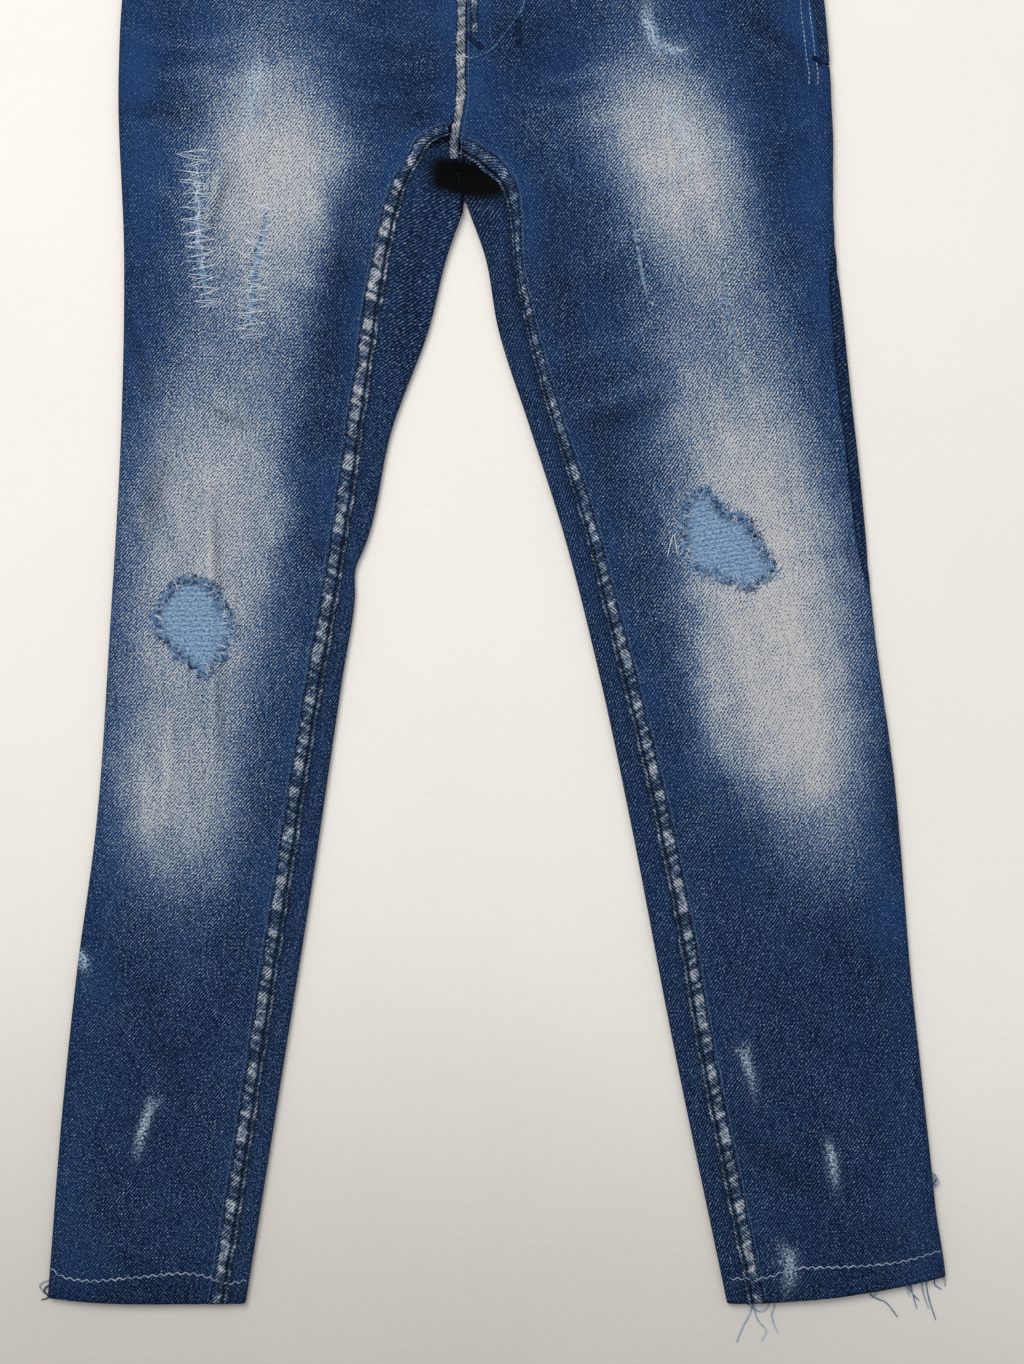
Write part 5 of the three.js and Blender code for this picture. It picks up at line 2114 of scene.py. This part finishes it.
    def topstitches(self) -> None:
        """Sews the rows that show on the front."""
        f = self.finishes
        rows: list[Array] = []
        fly = stitches(smooth_line(FLY_CURVE, 1.0), 3.2, 0.95)
        tubes("fly_topstitch", fly, 0.42, f.indigo)
        pocket = smooth_line(POCKET_CURVE, 1.0)
        for gap in (0.0, 6.0):
            rows += stitches(pocket - sideways(pocket) * gap, 3.2)
        tubes("fly_and_pocket_topstitch", rows, 0.42, f.topstitch)
        hems: list[Array] = []
        for line in HEM_STITCHES:
            plan = smooth_line(line, 0.6)
            plan[:, 1] += 0.75 * np.sin(2 * math.pi * plan[:, 0] / 5.6)
            lift = 0.25 + 0.2 * np.sin(2 * math.pi * plan[:, 0] / 2.8)
            hems.append(over_cloth(plan, lift))
        tubes("hem_topstitch", hems, 0.45, f.topstitch)
        end = over_cloth(smooth_line(((-28, 333), (-24, 334.5), (-19, 334)), 1.0), 2.4)
        self.yarns.add("fly_stitch_end", Thread.WHITE, 0.45, end)
        for ends in (((-22, 352), (-10, 341)), ((15, 361), (15, 342)), ((215, 335), (221, 330))):
            bar_tack(self.yarns, *ends)

    def damage(self) -> None:
        """Frays the tears, darns the mended ones and leaves loose threads."""
        yarns = self.yarns
        dark_mix = (Thread.NAVY, Thread.INDIGO, Thread.INDIGO, Thread.BLUE, Thread.NAVY)
        pale_mix = (Thread.WHITE, Thread.BLUE, Thread.INDIGO, Thread.BLUE)
        for name, hole in (("right", KNEE_HOLE_RIGHT), ("left", KNEE_HOLE_LEFT)):
            rim = smooth_line(hole, 1.0, closed=True)
            for density, length, mix in (
                (1.6, 6.5, pale_mix), (2.8, 4.0, dark_mix), (0.9, -4.5, dark_mix), (0.6, -5.5, pale_mix),
            ):
                yarns.fray(f"knee_fray_{name}", rim, density, length, mix)
        for k in range(10):
            top = -33 - 3.4 * k
            shift = 1.7 * math.sin(1.9 * k)
            white = (-187 + shift, top), (-186 + 0.4 * shift, top - 5.5)
            blue = (-184 - shift, top - 2), (-184.6 + shift, top - 6.5)
            loose_thread(yarns, Thread.WHITE, 0.3, 0.7, *white)
            loose_thread(yarns, Thread.BLUE, 0.3, 0.7, *blue)
        for tear, start in zip(MENDED_TEARS, (272.0, 238.0)):
            mend(yarns, tear, start)
            yarns.fray("mending", tear.outline(), 0.8, 3.5, pale_mix)
        for tear in THIN_TEARS:
            yarns.fray("thigh_fray_left", tear.outline(), 1.0, 3.5, pale_mix)
        for kind, radius, height, *points in LOOSE_THREADS:
            loose_thread(yarns, kind, radius, height, *points)
        caret = over_cloth(smooth_line(((116, -4), (119, 8), (120.5, 11), (121.5, 6), (123, -3)), 1.0), 0.6)
        yarns.add("knee_fray_left", Thread.WHITE, 0.4, caret)

    def build(self) -> None:
        """Builds every piece."""
        self.panels()
        self.small_cloth()
        self.seams()
        self.topstitches()
        self.damage()
        self.yarns.build(self.finishes)
        for cut in CUTS:
            cut.declare()


def knee_level(fold_x: float) -> Callable[[Array, Array], Array]:
    """The level of a knee patch, with one upright fold.

    Args:
        fold_x: where the fold is, in mm.

    Returns:
        A function of x and y that gives the height in mm.
    """

    def level(x: Array, y: Array) -> Array:
        """Returns the height of the patch's outer face."""
        fold = 0.7 * bell(x - fold_x - 0.04 * y, 3.2) - 0.5 * bell(x - fold_x + 5 - 0.04 * y, 4)
        return top_height(x, y) - CLOTH - 0.9 + fold + 0.25 * ripple(x, y, 26, 3.0)

    return level


# ---------------------------------------------------------------- surroundings
def lay_floor(finishes: Finishes) -> None:
    """Lays the pale cloth that the garment lies on.

    Args:
        finishes: the garment's materials.
    """
    bm = bmesh.new()
    cells, half, sunk = 40, 1.6, 0.0004
    bmesh.ops.create_grid(bm, x_segments=cells, y_segments=cells, size=half)
    bmesh.ops.translate(bm, verts=bm.verts, vec=(0, 0, -sunk))
    mesh = mesh_of("floor_cloth", bm)
    mesh.materials.append(finishes.floor)
    put("floor_cloth", mesh)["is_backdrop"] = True


@dataclass(frozen=True)
class SoftLight:
    """A square area light at a place in metres, aimed at a point of the floor."""

    name: str
    place: tuple[float, float, float]
    aim: tuple[float, float, float]
    size: float
    power: float
    colour: str

    def hang(self) -> None:
        """Puts the light in the scene."""
        data = bpy.data.lights.new(self.name, "AREA")
        data.size = self.size
        data.energy = self.power
        data.color = linear(self.colour)[:3]
        light = put(self.name, data)
        light.location = self.place
        light.rotation_euler = (Vector(self.aim) - Vector(self.place)).to_track_quat("-Z", "Y").to_euler()


LIGHTS = (
    SoftLight("window", (-0.8, 1.1, 2.2), (0.0, 0.1, 0.0), 1.4, 47.0, "#FFFAF3"),
    SoftLight("room", (0.9, 0.7, 2.4), (0.0, 0.1, 0.0), 2.0, 14.0, "#FFFFFF"),
)


def light_the_room() -> None:
    """Hangs the lights and sets an even grey surround."""
    for light in LIGHTS:
        light.hang()
    world = bpy.data.worlds.new("room")
    world.use_nodes = True
    world.node_tree.nodes["Background"].inputs["Color"].default_value = linear("#F2F4F7")
    world.node_tree.nodes["Background"].inputs["Strength"].default_value = 0.46
    bpy.context.scene.world = world
    bpy.context.scene.view_settings.view_transform = "Standard"
    # the weave is near the finest detail a render holds, so the denoiser takes its guides as they are
    bpy.context.scene.cycles.denoising_prefilter = "NONE"


def place_camera() -> None:
    """Holds the camera straight above, its top towards the waist."""
    height = 1.3
    seen = 0.9275  # length of the garment in view, in metres
    sensor = 24.0
    data = bpy.data.cameras.new("camera")
    data.sensor_fit = "VERTICAL"
    data.sensor_height = sensor
    data.lens = sensor * (height - LEG_TOP * MM) / seen
    camera = put("camera", data)
    camera.location = (0.0105, -0.0891, height)
    bpy.context.scene.camera = camera


def plain(value: object) -> object:
    """Turns bounds into what json can write.

    Args:
        value: bounds, or a part of them.

    Returns:
        The same as lists and numbers.
    """
    if isinstance(value, dict):
        return {str(key): plain(part) for key, part in value.items()}
    if isinstance(value, (str, bool, int)) or value is None:
        return value
    if hasattr(value, "__len__"):
        return [plain(part) for part in value]
    return float(value)


def main() -> None:
    """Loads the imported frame, builds the garment over it and sets the view."""
    logging.basicConfig(level=logging.INFO, format="%(name)s: %(message)s")
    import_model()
    sizes = {"cad": plain(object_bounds())}
    jeans = Jeans()
    jeans.build()
    lay_floor(jeans.finishes)
    light_the_room()
    place_camera()
    bpy.context.view_layer.update()
    sizes["visual"] = plain(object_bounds())
    log.info("sizes: %s", sizes)


if __name__ == "__main__":
    main()
